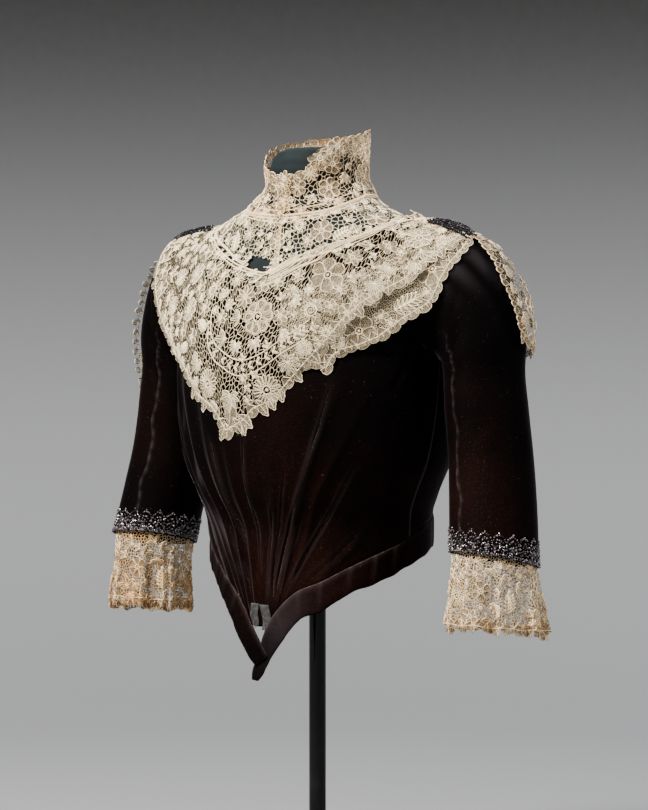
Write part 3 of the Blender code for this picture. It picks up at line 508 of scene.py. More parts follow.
def upper_edge(rows):
    """Places along a strip's upper edge, from the front point to the centre back."""
    angle, height = strip_columns(rows)[:2]
    shares = np.linspace(1.0, 0.0, 91)
    return angle(shares), height(shares)


BAND_TOPS = {1: upper_edge(BAND_LEFT), -1: upper_edge(BAND_RIGHT)}


def waist_seam(angle):
    """Height of the velvet's lower edge, just above the band and level at the front point."""
    turned_by = (np.asarray(angle, float) + 180.0) % 360.0 - 180.0
    tops = {side: np.interp(np.abs(turned_by), *BAND_TOPS[side]) for side in BAND_TOPS}
    return np.maximum(np.where(turned_by > 0, tops[1], tops[-1]) + WAIST_GAP, FRONT_HEM)

# %% [markdown]
# ## Creases
# Nothing in worn velvet is evenly spaced. Large gathers are in the CAD solids, and the finer creases are
# listed here, each as a line of places with its own depth, width, and strength of a pale line that is partly
# rubbed pile and partly a painted highlight, or of a painted sheen highlight on a ridge. A crease is a trough
# between two low lips, and a ridge is one soft swelling. A texture would be quicker, but only moved cloth
# catches the light like this.

# %% Creases along lines
# worn sets a crease's pale line, partly rubbed pile and partly a painted highlight, and a ridge's painted
# sheen highlight.
Fold = namedtuple("Fold", "line depth width worn")
FOLD_START, FOLD_END = 0.18, 0.3
NO_CREASE_NEAR = 20.0


def along_line(points, line):
    """How far each point is from a line of places, the share of the line nearest to it, and its side."""
    best = np.full(len(points), 1e9)
    share, side = np.zeros(len(points)), np.ones(len(points))
    outward = points * np.array([1.0, 1.0, 0.0])
    runs = np.linalg.norm(np.diff(line, axis=0), axis=1)
    start = np.concatenate(([0.0], np.cumsum(runs)))
    for i, run in enumerate(runs):
        way = (line[i + 1] - line[i]) / max(run, 1e-6)
        walked = np.clip((points - line[i]) @ way, 0.0, run)
        gap = np.linalg.norm(points - line[i] - walked[:, None] * way, axis=1)
        closer = gap < best
        best = np.where(closer, gap, best)
        share = np.where(closer, (start[i] + walked) / start[-1], share)
        turn = (np.cross(way, points - line[i]) * outward).sum(axis=1)
        side = np.where(closer, np.sign(turn), side)
    return best, share, side


def fold_relief(points, folds, place_of):
    """Height, wear with a painted highlight, and painted sheen that folds give to points, and the gap to a
    crease. Ridges are below 0.
    """
    flat = points.reshape(-1, 3)
    relief, worn, brushed = np.zeros((3, len(flat)))
    line_gap, parity = np.full(len(flat), NO_CREASE_NEAR), 1.0
    for fold in sorted(folds, key=lambda fold: sum(row[0] for row in fold.line) / len(fold.line)):
        rough = place_of(np.array(fold.line, float))
        steps = np.linspace(0, len(rough) - 1, 6 * len(rough))
        line = np.stack([curve_through(np.arange(len(rough)), rough[:, k])(steps) for k in range(3)], axis=-1)
        gap, share, side = along_line(flat, line)
        taper = eased(clamped(share / FOLD_START) * clamped((1 - share) / FOLD_END))
        across = gap / fold.width
        trough = bell(across)
        if fold.depth > 0:
            lips = bell((across - 2.0) / 1.1)
            relief += fold.depth * taper * (0.45 * lips - trough)
            # A pale line in the crease: partly rubbed pile, partly a painted highlight.
            worn += fold.worn * taper * bell(gap / 3.5)
            # Painted sheen highlight on the lips beside a crease.
            brushed += 0.2 * fold.worn * taper * lips
            line_gap = np.where(gap < np.abs(line_gap), parity * side * gap, line_gap)
            parity = -parity
        else:
            relief -= fold.depth * taper * trough
            # Painted sheen highlight along a ridge.
            brushed += fold.worn * taper * bell(across - 0.2)
    grids = (relief, clamped(worn), clamped(brushed), line_gap)
    return [grid.reshape(points.shape[:-1]) for grid in grids]


Glow = namedtuple("Glow", "x y z reach strength")
# Pools of painted light: where the red-brown cast is painted on the velvet, each with its reach and strength.
WARM_LIGHT_POOLS = table(Glow, [
    (70, -90, 400, 95, 1), (120, -40, 430, 80, 0.9), (40, -100, 520, 70, 0.45), (-30, -110, 380, 60, 0.5),
    (235, -30, 450, 70, 0.6), (228, -40, 530, 50, 0.3), (-215, -30, 520, 60, 0.3), (0, 120, 480, 90, 0.4),
    (60, -90, 330, 60, 0.8),
])


WARM_LIGHT_EVERYWHERE = 0.04


def painted_warm_light(points):
    """Painted light: the red-brown cast where light falls, strongest low on the wearer's left and on the lower
    sleeve.
    """
    total = np.full(points.shape[:-1], WARM_LIGHT_EVERYWHERE)
    for one in WARM_LIGHT_POOLS:
        gap = np.linalg.norm(points - np.array([one.x, one.y, one.z]), axis=-1) / one.reach
        total += one.strength * bell(gap)
    return clamped(total)


def metric_places(points):
    """Cloth coordinates of a grid of points, in millimetres from its middle column and its first row."""
    across = np.linalg.norm(np.diff(points, axis=0), axis=-1)
    up = np.linalg.norm(np.diff(points, axis=1), axis=-1)
    u = np.concatenate((np.zeros((1, points.shape[1])), np.cumsum(across, axis=0)))
    v = np.concatenate((np.zeros((points.shape[0], 1)), np.cumsum(up, axis=1)), axis=1)
    middle = points.shape[0] // 2
    u = u - u[middle:middle + 1]
    return np.stack([u, v], axis=-1)


def cloth_mesh(name, points, finish, masks=None, keep=None):
    """A mesh from a grid of points with its cloth coordinates, and only the faces whose middles are kept."""
    faces = grid_faces(points.shape[0] - 1, points.shape[1] - 1)
    if keep is not None:
        faces = faces[keep(points.reshape(-1, 3)[faces].mean(axis=1))]
    return new_mesh(name, points, faces, finish, metric_places(points), masks)


def velvet_sheet(name, points, worn, brushed, line_gap, wall, keep=None):
    """A velvet piece from a grid of points on its outer face."""
    masks = {"worn": worn, "warm": painted_warm_light(points), "brushed": brushed, "line": line_gap}
    made = cloth_mesh(name, points, velvet, masks, keep)
    thicken(made, wall)
    return made

# %% [markdown]
# ## Fronts and back
# Each front is drawn in to the waist point, so its threads fan up and out from there, and the gathers lie
# along them. Cloth simulation could find such gathers, but not these ones, so they are placed along the fan.

# %% The two fronts
VELVET_WALL = 1.8
SIDE_SEAM = 90.0
SEAM_LAP = 0.4
FRONT_EDGE = 0.03
FAN_FOOT, FAN_SIDE, FAN_TOP, FAN_BEND = 0.24, 8.0, 0.55, 0.85
Gather = namedtuple("Gather", "place top depth width")
GATHERS_LEFT = table(Gather, [
    (0.18, 0.5, 3, 0.03), (0.44, 0.72, 3.2, 0.035), (0.61, 0.55, 3, 0.035), (0.8, 0.36, 2, 0.05),
])
GATHERS_RIGHT = table(Gather, [
    (0.1, 0.5, 3.5, 0.035), (0.25, 0.6, 6.5, 0.045), (0.41, 0.66, 8, 0.05), (0.57, 0.7, 7.5, 0.05),
    (0.73, 0.66, 6, 0.05), (0.88, 0.5, 3.5, 0.05),
])
GATHER_AT_FOOT = 0.22
GATHER_RISE = 0.16
FRONT_COLUMNS, FRONT_ROWS = 132, 118
FRONT_ROW_CLOSENESS = 1.25
# Painted sheen highlight on the gathers' crests, strong on the wearer's right.
CREST_SHEEN = {1: 0.10, -1: 0.85}


def gather_relief(place, share, gathers):
    """How far the gathers lift the cloth, and how much painted sheen highlight their crests get."""
    relief, crest = np.zeros((2, *place.shape))
    for fold in gathers:
        off = (place - fold.place) / fold.width
        fade = np.maximum(0.0, 1.0 - share / fold.top) ** 0.7
        grown = GATHER_AT_FOOT + (1 - GATHER_AT_FOOT) * np.minimum(share / GATHER_RISE, 1.0)
        relief += fold.depth * np.exp(-off * off) * fade * grown
        crest += 0.14 * fold.depth * bell((off - 0.35) / 0.30) * fade**1.4
    return relief, crest


def fan_angle(place, share):
    """The angle of a thread of a front: the threads crowd towards the centre front at the waist."""
    foot = FAN_FOOT * place + (1 - FAN_FOOT) * place**FAN_SIDE
    spread = np.minimum(share / FAN_TOP, 1.0) ** FAN_BEND
    return FRONT_EDGE + (SIDE_SEAM - FRONT_EDGE) * (foot + (place - foot) * spread)


FRONT_FOLDS = table(Fold, [
    ([(4.9, 338), (7.2, 391), (11.8, 444), (15, 494)], 1.5, 1.3, 0.55),
    ([(10.5, 341), (11, 369), (19, 426), (26.6, 459), (32.6, 515), (35, 539), (39, 590)], 1.7, 1.5, 0.6),
    ([(15, 352), (17.3, 364), (26, 396), (40.4, 440), (48.5, 476), (53.7, 502)], 1.5, 1.6, 0.45),
    ([(13, 349), (14, 372), (22, 418), (30, 446)], 1.1, 1.1, 0.35),
    ([(8, 340), (9, 380), (13, 420), (20, 470), (22, 500)], 0.8, 1.2, 0.25),
    ([(25, 366), (40, 392), (58, 425)], 1, 2.4, 0.1), ([(30, 372), (50, 405), (66, 445)], -1.1, 5, 0),
    ([(1.2, 366), (1.4, 416), (1.2, 496), (3.4, 534)], 1, 1.2, 0.35),
    ([(-3.2, 391), (-12, 436), (-13.7, 461), (-15.8, 502), (-19.8, 531)], 1.6, 1.4, 0.45),
    ([(-10.9, 366), (-21.7, 412), (-30.9, 451), (-31.6, 487), (-32.7, 522)], -1.8, 3, 0.6),
    ([(-5, 350), (-9, 380), (-19, 420), (-24, 470)], 1.4, 1.5, 0.4),
    ([(-20, 372), (-33, 410), (-43, 452), (-47, 500), (-46, 560)], 1.8, 2, 0.25),
    ([(-30, 386), (-45, 420), (-57, 470), (-60, 530)], 1.6, 2.4, 0.2),
    ([(-42, 398), (-60, 430), (-72, 470)], -1.6, 4, 0.45),
    ([(-24, 376), (-38, 416), (-50, 468), (-55, 530), (-56, 590)], -1.7, 2.8, 0.75),
    ([(-15, 368), (-27, 408), (-37, 452), (-40, 500), (-41, 560)], -1, 2.2, 0.5),
    ([(60, 560), (72, 520), (80, 470)], 0.9, 4, 0), ([(75, 640), (70, 600), (62, 560)], 0.9, 3.5, 0),
    ([(-78, 640), (-70, 600), (-60, 565)], 1, 3.5, 0.05),
])
ARMHOLE_MIDDLE_Y, ARMHOLE_MIDDLE_Z = 12.0, 663.0
ARMHOLE_HALF = (48.0, 60.0)
ARMHOLE_FROM = 95.0


def outside_armhole(middles):
    """True where the side isn't cut out for the sleeve."""
    off = ((middles[:, 1] - ARMHOLE_MIDDLE_Y) / ARMHOLE_HALF[0]) ** 2
    off += ((middles[:, 2] - ARMHOLE_MIDDLE_Z) / ARMHOLE_HALF[1]) ** 2
    return (off > 1.0) | (np.abs(middles[:, 0]) < ARMHOLE_FROM)


TUCK_SHARE, TUCK_DEPTH, TUCK_IN, TUCK_IN_FRONT = 0.02, 7.0, 3.3, 1.3
UNDERLAP_DEPTH, UNDERLAP_REACH = 9.0, 9.0


def panel(angle, share, relief):
    """Points of the velvet from the waist seam to the neckline. Below the seam it slips behind the band."""
    low = waist_seam(angle)
    below = clamped(-share / TUCK_SHARE)
    turned_by = (angle + 180.0) % 360.0 - 180.0
    depth = TUCK_DEPTH + UNDERLAP_DEPTH * np.exp(-((turned_by / UNDERLAP_REACH) ** 4))
    height = low + (edge_height(NECKLINE, angle) - low) * np.maximum(share, 0.0) - depth * below
    inward = TUCK_IN_FRONT + (TUCK_IN - TUCK_IN_FRONT) * clamped(np.abs(turned_by) / 40 - 1)
    return body_offset(angle, height, relief * (1 - below) - inward * np.minimum(2 * below, 1.0))


def panel_grid(columns, rows):
    """Shares round and up a panel, with two rows below the seam."""
    up = np.concatenate(([-TUCK_SHARE, -TUCK_SHARE / 2], np.linspace(0, 1, rows + 1)))
    return np.meshgrid(np.linspace(0, 1, columns + 1), up, indexing="ij")


def body_line(line):
    """Places on the smooth outer face of a line of angles and heights."""
    return body_point(line[:, 0], line[:, 1])


def front_panel(side, label, gathers):
    """One velvet front, from the closing edge to the side seam."""
    u, v = panel_grid(FRONT_COLUMNS, FRONT_ROWS)
    place = u if side > 0 else 1.0 - u
    share = np.where(v < 0, v, 1.0 - (1.0 - np.maximum(v, 0)) ** FRONT_ROW_CLOSENESS)
    angle = side * fan_angle(place, np.maximum(share, 0.0))
    relief, crest = gather_relief(place, np.maximum(share, 0.0), gathers)
    points = panel(angle, share, relief)
    more, worn, brushed, line_gap = fold_relief(points, FRONT_FOLDS, body_line)
    near_hem = bell((np.maximum(share, 0.0) * 300.0) / 5.0)
    points = panel(angle, share, relief + more * (1 - near_hem))
    # Painted sheen highlight on the crests of the gathers.
    brushed = clamped(brushed + crest * CREST_SHEEN[side])
    made = velvet_sheet(
        "velvet_front_" + label, points, worn, brushed, line_gap, VELVET_WALL, outside_armhole
    )
    return dress(made, "velvet", "front_" + label)


front_left = front_panel(1, "left", GATHERS_LEFT)
front_right = front_panel(-1, "right", GATHERS_RIGHT)
print("front points", len(front_left.data.vertices))

# %% The back
BACK_FOLDS = table(Fold, [
    ([(172, 445), (165, 480), (160, 530)], 1.2, 3, 0.1),
    ([(188, 446), (196, 490), (199, 540)], 1, 3.5, 0.1),
    ([(150, 444), (142, 470), (130, 505)], 1.4, 3, 0.12),
    ([(212, 443), (222, 476), (234, 500)], 1.1, 3.2, 0.12),
    ([(125, 436), (116, 458), (106, 478)], 1, 2.6, 0.1),
    ([(240, 438), (247, 470), (256, 492)], 1.3, 2.8, 0.1),
    ([(180, 450), (181, 560), (180, 640)], 0.5, 1.3, 0.2),
    ([(118, 620), (135, 590), (150, 570)], -1.1, 7, 0), ([(244, 625), (226, 600), (214, 572)], -1.3, 7, 0),
])
BACK_COLUMNS, BACK_ROWS = 140, 80


def back_panel():
    """The velvet back, from side seam to side seam."""
    start = SIDE_SEAM - SEAM_LAP
    u, v = panel_grid(BACK_COLUMNS, BACK_ROWS)
    angle = start + (360 - 2 * start) * u
    points = panel(angle, v, np.zeros(angle.shape))
    more, worn, brushed, line_gap = fold_relief(points, BACK_FOLDS, body_line)
    at_seam = bell(np.minimum(u, 1 - u) / 0.008)
    points = panel(angle, v, np.where(v < 0, 0.0, more * (1 - at_seam) - 0.35 * at_seam))
    made = velvet_sheet("velvet_back", points, worn, brushed, line_gap, VELVET_WALL, outside_armhole)
    return dress(made, "velvet", "back")


back = back_panel()
print("back points", len(back.data.vertices))

# %% [markdown]
# ## Sleeves
# A sleeve is a line of ovals that turn from upright at the armhole to level on the arm. It is cut as an
# upper and an under piece, and the velvet puckers a little along the front seam, where a pale, wavering line
# is painted, partly as rubbed pile and partly as a painted sheen highlight. A band of painted sheen highlight
# lies round the top of the left sleeve.

# %% The sleeves' ovals
Ring = namedtuple("Ring", "along x y z tilt_out tilt_front half_width half_depth")
SLEEVE = table(Ring, [
    (0, 166, 12, 667, 0, 0, 70, 53), (0.1, 184.4, 13, 660.6, 15, 0, 66, 53),
    (0.2, 197, 14, 645.7, 30, 0, 57, 51), (0.3, 205.8, 15, 625.4, 50, 0, 47, 48.5),
    (0.39, 209.7, 15, 607.9, 70, 0, 41.5, 46), (0.47, 209.5, 15, 592, 88, 0, 38.5, 44),
    (0.6, 213, 15, 550, 90, 2, 39.5, 44.5), (0.73, 219.5, 14, 500, 90, 5, 40.5, 45),
    (0.86, 227, 8, 450, 91, 9, 42, 46), (1, 235, -1, 397, 93, 13, 43.5, 46),
])
SLEEVE_AT = columns_of(SLEEVE)
FRONT_SEAM_ANGLE, BACK_SEAM_ANGLE, COLUMN_CROWDING = -105.0, 122.0, 1.5
Crease = namedtuple("Crease", "along angle length depth width slant")
SLEEVE_CREASES = table(Crease, [
    (0.34, -88, 0.16, 2.6, 26, 0.8), (0.52, -96, 0.14, 2.2, 26, 0.8), (0.7, -112, 0.13, 2, 26, 0.8),
    (0.3, 30, 0.12, 1.6, 26, 0.8),
])
FINE_CREASES = table(Crease, [
    (0.1, 62, 0.07, 0.9, 7, 0), (0.09, 38, 0.06, 0.7, 6, 0.2), (0.11, 12, 0.08, 0.9, 7, -0.2),
    (0.1, -14, 0.06, 0.7, 6, 0.1), (0.12, -40, 0.07, 0.8, 7, 0.3), (0.13, -66, 0.06, 0.7, 7, 0.4),
    (0.22, -70, 0.05, 0.9, 16, 0.9), (0.45, 96, 0.06, 1.2, 18, -0.9), (0.58, 84, 0.08, 1.1, 16, -0.8),
    (0.66, -60, 0.05, 0.6, 14, 1.2), (0.8, 70, 0.07, 0.8, 18, -0.6), (0.86, -30, 0.06, 0.6, 20, 0.5),
    (0.47, 170, 0.05, 1.4, 20, 0.6), (0.54, -150, 0.05, 1.2, 18, -0.5), (0.62, 160, 0.05, 1, 18, 0.7),
])
HEAD_REACH = 0.1
HEAD_TOP = 742.0
SLEEVE_SEAT = 2.4
HEAD_CLOSENESS = 1.25
# A band of painted plum-grey sheen highlight round the top of the left sleeve.
SHEEN_BAND_HEIGHT, SHEEN_BAND_REACH, SHEEN_BAND_STRENGTH = 700.0, 24.0, 0.27
PUCKER_RUB_AND_SHEEN = {1: (0.20, 0.26), -1: (0.08, 0.36)}
SLEEVE_ROWS = 118


def sleeve_ring(along, angle, side):
    """Points of the smooth sleeve. side is 1 for the wearer's left and -1 for the right."""
    row = {name: SLEEVE_AT[name](along) for name in SLEEVE_AT}
    out, lean, turn = np.radians(row["tilt_out"]), np.radians(row["tilt_front"]), np.radians(angle)
    wide, deep = row["half_width"] * np.cos(turn), row["half_depth"] * np.sin(turn)
    x = row["x"] + np.sin(out) * wide
    y = row["y"] + np.cos(lean) * deep
    z = row["z"] + np.cos(out) * wide - np.sin(lean) * deep
    return np.stack([x * side, y, z], axis=-1)


def crease_relief(along, angle, creases):
    """Depth of soft creases on a sleeve."""
    relief = np.zeros(np.shape(along))
    for one in creases:
        off_along = (along - one.along) / one.length
        apart = (angle - one.angle + 180.0) % 360.0 - 180.0
        off_round = apart / one.width + off_along * one.slant
        relief -= one.depth * np.exp(-4 * (off_along**2 + off_round**2))
    return relief


def sleeve_point(along, angle, side, distance=0.0):
    """Points of the sleeve's outer face, or at a distance outside it. Its head lies against the bodice."""
    across = sleeve_ring(along, angle + 1.0, side) - sleeve_ring(along, angle - 1.0, side)
    down = sleeve_ring(along + 0.01, angle, side) - sleeve_ring(along - 0.01, angle, side)
    outward = unit(np.cross(down, across)) * side
    lift = distance + crease_relief(along, angle, SLEEVE_CREASES)
    points = sleeve_ring(along, angle, side) + outward * np.asarray(lift)[..., None]
    reach = 1.0 - np.minimum(along / HEAD_REACH, 1.0)
    height = np.minimum(points[..., 2], HEAD_TOP)
    depth = np.where(points[..., 1] < 0, BODICE_AT["front"](height), BODICE_AT["back"](height))
    share = np.minimum(np.abs(points[..., 1]) / depth, 0.95)
    seat = BODICE_AT["side"](height) * np.sqrt(1 - share**2) + SLEEVE_SEAT
    points[..., 0] += (side * seat - points[..., 0]) * reach
    return points


def seam_pucker(along, angle):
    """The wavering ridge down the front seam, how much of the painted pale line it gets, and the gap to its
    crest.
    """
    seam = FRONT_SEAM_ANGLE + 4.0 + 2.6 * np.sin(along * 31.0) + 1.3 * np.sin(along * 67.0 + 1.0)
    off = (angle - seam) / 1.7
    grown = clamped((along - 0.22) / 0.1) * clamped((1.0 - along) / 0.12)
    uneven = 0.6 + 0.4 * np.sin(along * 49.0)
    ridge = (1.3 * bell(off) - 0.8 * bell((off - 2.2) / 1.2)) * grown * uneven
    brushed = bell(off / 1.4) * grown * (0.15 + along) * (0.25 + 0.75 * np.sin(along * 83.0) ** 2)
    return ridge, brushed, (angle - seam) * 0.75


def sleeve_piece(name, side, front, behind, columns):
    """The upper or the under piece of a sleeve, from its front seam to its back seam."""
    u, v = share_grid(columns, SLEEVE_ROWS)
    along = (1.0 - v) ** HEAD_CLOSENESS
    share = u if (side < 0) == (front < behind) else 1.0 - u
    angle = front + (behind - front) * share**COLUMN_CROWDING
    ridge, brushed, line_gap = seam_pucker(along, np.where(angle > 180, angle - 360, angle))
    off_head = clamped((along - 0.02) / 0.05) * clamped((0.93 - along) / 0.04)
    fine = crease_relief(along, angle, FINE_CREASES) * off_head
    points = sleeve_point(along, angle, side, fine + ridge * off_head)
    # The seam's pale line: a rubbed line that is partly a painted highlight, and a painted sheen highlight.
    worn, brushed = (part * brushed for part in PUCKER_RUB_AND_SHEEN[side])
    # Painted sheen highlight in streaks round the top of the left sleeve.
    if side > 0:
        height = points[..., 2]
        streaks = 0.5 + 0.5 * np.sin(angle * 0.19 + height * 0.08)
        brushed = brushed + SHEEN_BAND_STRENGTH * (bell((height - SHEEN_BAND_HEIGHT) / SHEEN_BAND_REACH) * streaks)
    made = velvet_sheet("velvet_" + name, points, worn, brushed, line_gap, VELVET_WALL)
    return dress(made, "velvet", name)


SIDES = ((1, "left"), (-1, "right"))
sleeves = {}
for side, label in SIDES:
    for part, start, columns in (("upper", 0.0, 84), ("under", 360.0, 44)):
        front = start + FRONT_SEAM_ANGLE
        sleeves[part, side] = sleeve_piece(
            "sleeve_" + part + "_" + label, side, front, BACK_SEAM_ANGLE, columns
        )
print("sleeve pieces", len(sleeves))

# %% [markdown]
# ## Waist band
# The band is a strip of doubled velvet. Its edges are rolled, its face is a little full, and small pleats
# run across it, more on the wearer's right. It is one closed wall, rounded by its own section.

# %% The band
LIFT_SHARE, LIFT_ANGLE, RIGHT_TAB_LIFT = 1.3, 16.0, 2.7
BAND_COLUMNS, BAND_ROWS = 220, 14
Pleat = namedtuple("Pleat", "share depth width")
PLEATS = {
    1: table(Pleat, [
        (0.3, 0.9, 0.012), (0.52, 1.2, 0.01), (0.585, 1, 0.009), (0.66, 0.7, 0.01), (0.74, 0.9, 0.008),
        (0.8, 1.1, 0.01), (0.86, 0.8, 0.007), (0.94, 0.7, 0.01),
    ]),
    -1: table(Pleat, [
        (0.28, 0.9, 0.012), (0.5, 1, 0.01), (0.58, 1.3, 0.01), (0.64, 1, 0.008), (0.69, 1.4, 0.009),
        (0.745, 1.2, 0.008), (0.8, 1.3, 0.009), (0.855, 1, 0.008),
    ]),
}


def waist_band(side, label, rows, lift):
    """One half of the band, from the centre back to its tab at the front point."""
    upper_angle, upper_height, lower_angle, lower_height = strip_columns(rows)
    u, v = share_grid(BAND_COLUMNS, BAND_ROWS)
    share = 1.0 - u if side > 0 else u
    angle = lower_angle(share) * (1 - v) + upper_angle(share) * v
    height = lower_height(share) * (1 - v) + upper_height(share) * v
    near_tip = clamped(LIFT_SHARE - np.abs(angle) / LIFT_ANGLE)
    relief = 0.7 * (1 - np.abs(2 * v - 1) ** 5)
    # Along the top edge, a rubbed line that is partly a painted highlight. Painted sheen highlight on the
    # rolled edge, near the front of the left half and beside each pleat.
    worn = 0.45 * (v > 0.8) * clamped((share - 0.40) / 0.1) * (0.6 + 0.4 * np.sin(share * 90) ** 2)
    brushed = 0.5 * bell((share - 0.86) / 0.09) * (side > 0) + 0.35 * bell((v - 0.93) / 0.08)
    for pleat in PLEATS[side]:
        off = (share + 0.01 * (v - 0.5) - pleat.share) / pleat.width
        relief -= pleat.depth * bell(off) * (0.35 + 0.65 * v)
        relief += 0.4 * pleat.depth * bell((off + 1.9) / 1.0)
        brushed += 0.3 * bell((off + 1.6) / 0.8) * v
    relief = np.maximum(relief, -0.3)
    sag = 1.1 * np.sin(share * 61.0 + side) * np.sin(share * 23.0)
    height = height + sag * (1 - v) * clamped(np.abs(angle) / 15 - 1)
    points = oval(BAND_SIDE, BAND_FRONT, BAND_BACK, angle * side, height)
    outward = unit(points * np.array([1.0, 1.0, 0.0]))
    points = points + outward * (lift * near_tip + relief)[..., None]
    rolled_edge, band_sheen = (v - 0.985) * 27.0, 0.5 * clamped(brushed)
    made = velvet_sheet("velvet_band_" + label, points, worn, band_sheen, rolled_edge, BAND_WALL)
    return dress(made, "velvet", "waist_band_" + label)


bands = [waist_band(1, "left", BAND_LEFT, 0.0), waist_band(-1, "right", BAND_RIGHT, RIGHT_TAB_LIFT)]
print("bands", len(bands))

# %% [markdown]
# ## Dress form, pole and base
# The form is a limbless torso in dark teal velvet. It shows only inside the collar and from below. It is a
# loft of ovals as smooth as the bodice. The pole and the base are turned from profiles and finished in worn
# black enamel.

# %% The stand
Ease = namedtuple("Ease", "height side front back")
FORM_EASE = table(Ease, [
    (404, 26, 24, 28), (412, 18, 18, 20), (440, 12, 20, 17), (490, 15, 25, 21), (530, 12, 20, 17),
    (580, 6, 10, 9), (630, 3.5, 5, 5), (665, 3, 3.2, 3.2), (720, 3.3, 3.3, 3.3), (745, 3.4, 3.4, 3.4),
    (760, 4.2, 4, 4), (775, 4, 3.8, 3.8), (790, 3.2, 3.2, 3.2),
])
FORM_TOP = table(Section, [
    (801, 50, 48.5, 49.5), (811, 45.5, 45.5, 46), (818, 36, 36, 37), (821, 22, 22, 23), (822, 5, 5, 5),
])
EASE_AT = columns_of(FORM_EASE)
POLE_RADIUS, SOCKET_RADIUS, SOCKET_TOP, FORM_BOTTOM = 9.0, 9.3, 450.0, 404.0
BASE_FLAT, BASE_ROUND, BASE_TOP, MIDDLE = 157.0, 3.0, 12.0, 0.5
POLE_CHAMFER, POLE_GAP = 0.3, 0.3


def form_cloth_material():
    """Dark teal velvet, dusty with age."""
    sheen = {"Sheen_Weight": 0.12, "Sheen_Roughness": 0.3, "Sheen_Tint": (0.35, 0.5, 0.55, 1)}
    made, tree, shader = new_material("form_velvet", Specular_IOR_Level=0.15, **sheen)
    place = object_place(tree)
    drift, tufts = noise(tree, place, 30.0, 4.0), noise(tree, place, 900.0, 2.0, 0.7)
    colour = blend(
        tree, between(tree, drift, 0.3, 0.7), (0.0018, 0.0040, 0.0050, 1), (0.0045, 0.0095, 0.0115, 1)
    )
    colour = blend(tree, times(tree, between(tree, tufts, 0.6, 0.8), 0.15), colour, (0.05, 0.07, 0.08, 1))
    connect(tree, shader, Base_Color=colour, Roughness=maths(tree, "ADD", times(tree, tufts, 0.2), 0.7))
    raise_surface(tree, shader, tufts, 0.0005, 0.5)
    return made


def black_enamel_material():
    """Glossy black enamel with fine scratches along the pole and a little dust."""
    coat = {"Coat_Weight": 0.06, "Coat_Roughness": 0.08}
    made, tree, shader = new_material("black_enamel", Specular_IOR_Level=0.13, **coat)
    place = object_place(tree)
    long_way = add(tree, "ShaderNodeMapping", {"Vector": place, "Scale": (1.0, 1.0, 0.04)}).outputs[0]
    scratches, dust = noise(tree, long_way, 900.0, 3.0, 0.6), noise(tree, place, 24.0, 4.0)
    colour = blend(
        tree, between(tree, scratches, 0.58, 0.75), (0.0015, 0.0015, 0.0016, 1), (0.006, 0.006, 0.006, 1)
    )
    colour = blend(tree, times(tree, between(tree, dust, 0.5, 0.75), 0.2), colour, (0.03, 0.029, 0.027, 1))
    rough = maths(tree, "ADD", times(tree, dust, 0.16), times(tree, scratches, 0.12))
    connect(tree, shader, Base_Color=colour, Roughness=rough)
    raise_surface(tree, shader, scratches, 0.0002, 0.3)
    return made


def form_rings(sides=96):
    """Rings of the form from the socket's top, down, round its bottom and up to the neck's low dome."""
    angle = np.linspace(0.0, 360.0, sides, endpoint=False)
    rings = [oval(r, r, r, angle, z) for r, z in ((0.5, SOCKET_TOP), (SOCKET_RADIUS, SOCKET_TOP))]
    rings += [
        oval(SOCKET_RADIUS, SOCKET_RADIUS, SOCKET_RADIUS, angle, z) for z in (448.0, 406.0, FORM_BOTTOM)
    ]
    facing = np.cos(np.radians(angle)) ** 2
    heights = np.concatenate(
        (np.linspace(404, 440, 10), np.linspace(446, 700, 40), np.linspace(703, 793, 36))
    )
    for height in heights:
        ends = np.where(np.cos(np.radians(angle)) > 0, EASE_AT["front"](height), EASE_AT["back"](height))
        ease = EASE_AT["side"](height) * (1 - facing) + ends * facing
        rings.append(body_offset(angle, np.full(sides, height), -ease))
    top = columns_of([Section(793, 53.0, 51.0, 52.0)] + FORM_TOP)
    for height in np.concatenate((np.linspace(797, 818, 9), [819.5, 820.7, 821.5, 822.0])):
        rings.append(oval(*(float(top[name](height)) for name in ("side", "front", "back")), angle, height))
    return np.stack(rings, axis=1)


enamel = black_enamel_material()
rings = form_rings()
form = new_mesh(
    "form_torso", rings, grid_faces(len(rings), rings.shape[1] - 1, closed=True), form_cloth_material()
)
dress(form, "form_cloth", "dress_form")
edge = [math.radians(18.0 * step) for step in range(6)]
rim = [(BASE_ROUND * math.cos(a), BASE_ROUND * math.sin(a)) for a in edge]
base_profile = [(MIDDLE, 0.0), (BASE_FLAT, 0.0)] + [(BASE_FLAT + up, BASE_ROUND - out) for out, up in rim[1:]]
base_profile += [(BASE_FLAT + out, BASE_TOP - BASE_ROUND + up) for out, up in rim]
base_profile += [(60.0, BASE_TOP), (MIDDLE, BASE_TOP)]
base = dress(turned("stand_foot", base_profile, enamel), "black_steel", "stand_base")
foot, head = BASE_TOP + POLE_GAP, SOCKET_TOP - POLE_GAP
inner = POLE_RADIUS - POLE_CHAMFER
pole_profile = [(MIDDLE, foot), (inner, foot), (POLE_RADIUS, foot + POLE_CHAMFER)]
pole_profile += [(POLE_RADIUS, z) for z in np.linspace(60, 440, 9)]
pole_profile += [(POLE_RADIUS, head - POLE_CHAMFER), (inner, head), (MIDDLE, head)]
pole = dress(turned("stand_tube", pole_profile, enamel), "black_steel", "stand_pole")
print("stand pieces 3")

# %% [markdown]
# ## Lace
# Needle lace has three layers: a ground of fine bars with uneven gaps, flowers and leaves of close stitches
# with a raised cord round each, and heavier cords along the edges. A picture on a flat sheet would look
# printed. Here the ground is a thin sheet with gaps cut by its material, and every flower, leaf and cord is
# a small mesh laid on it.

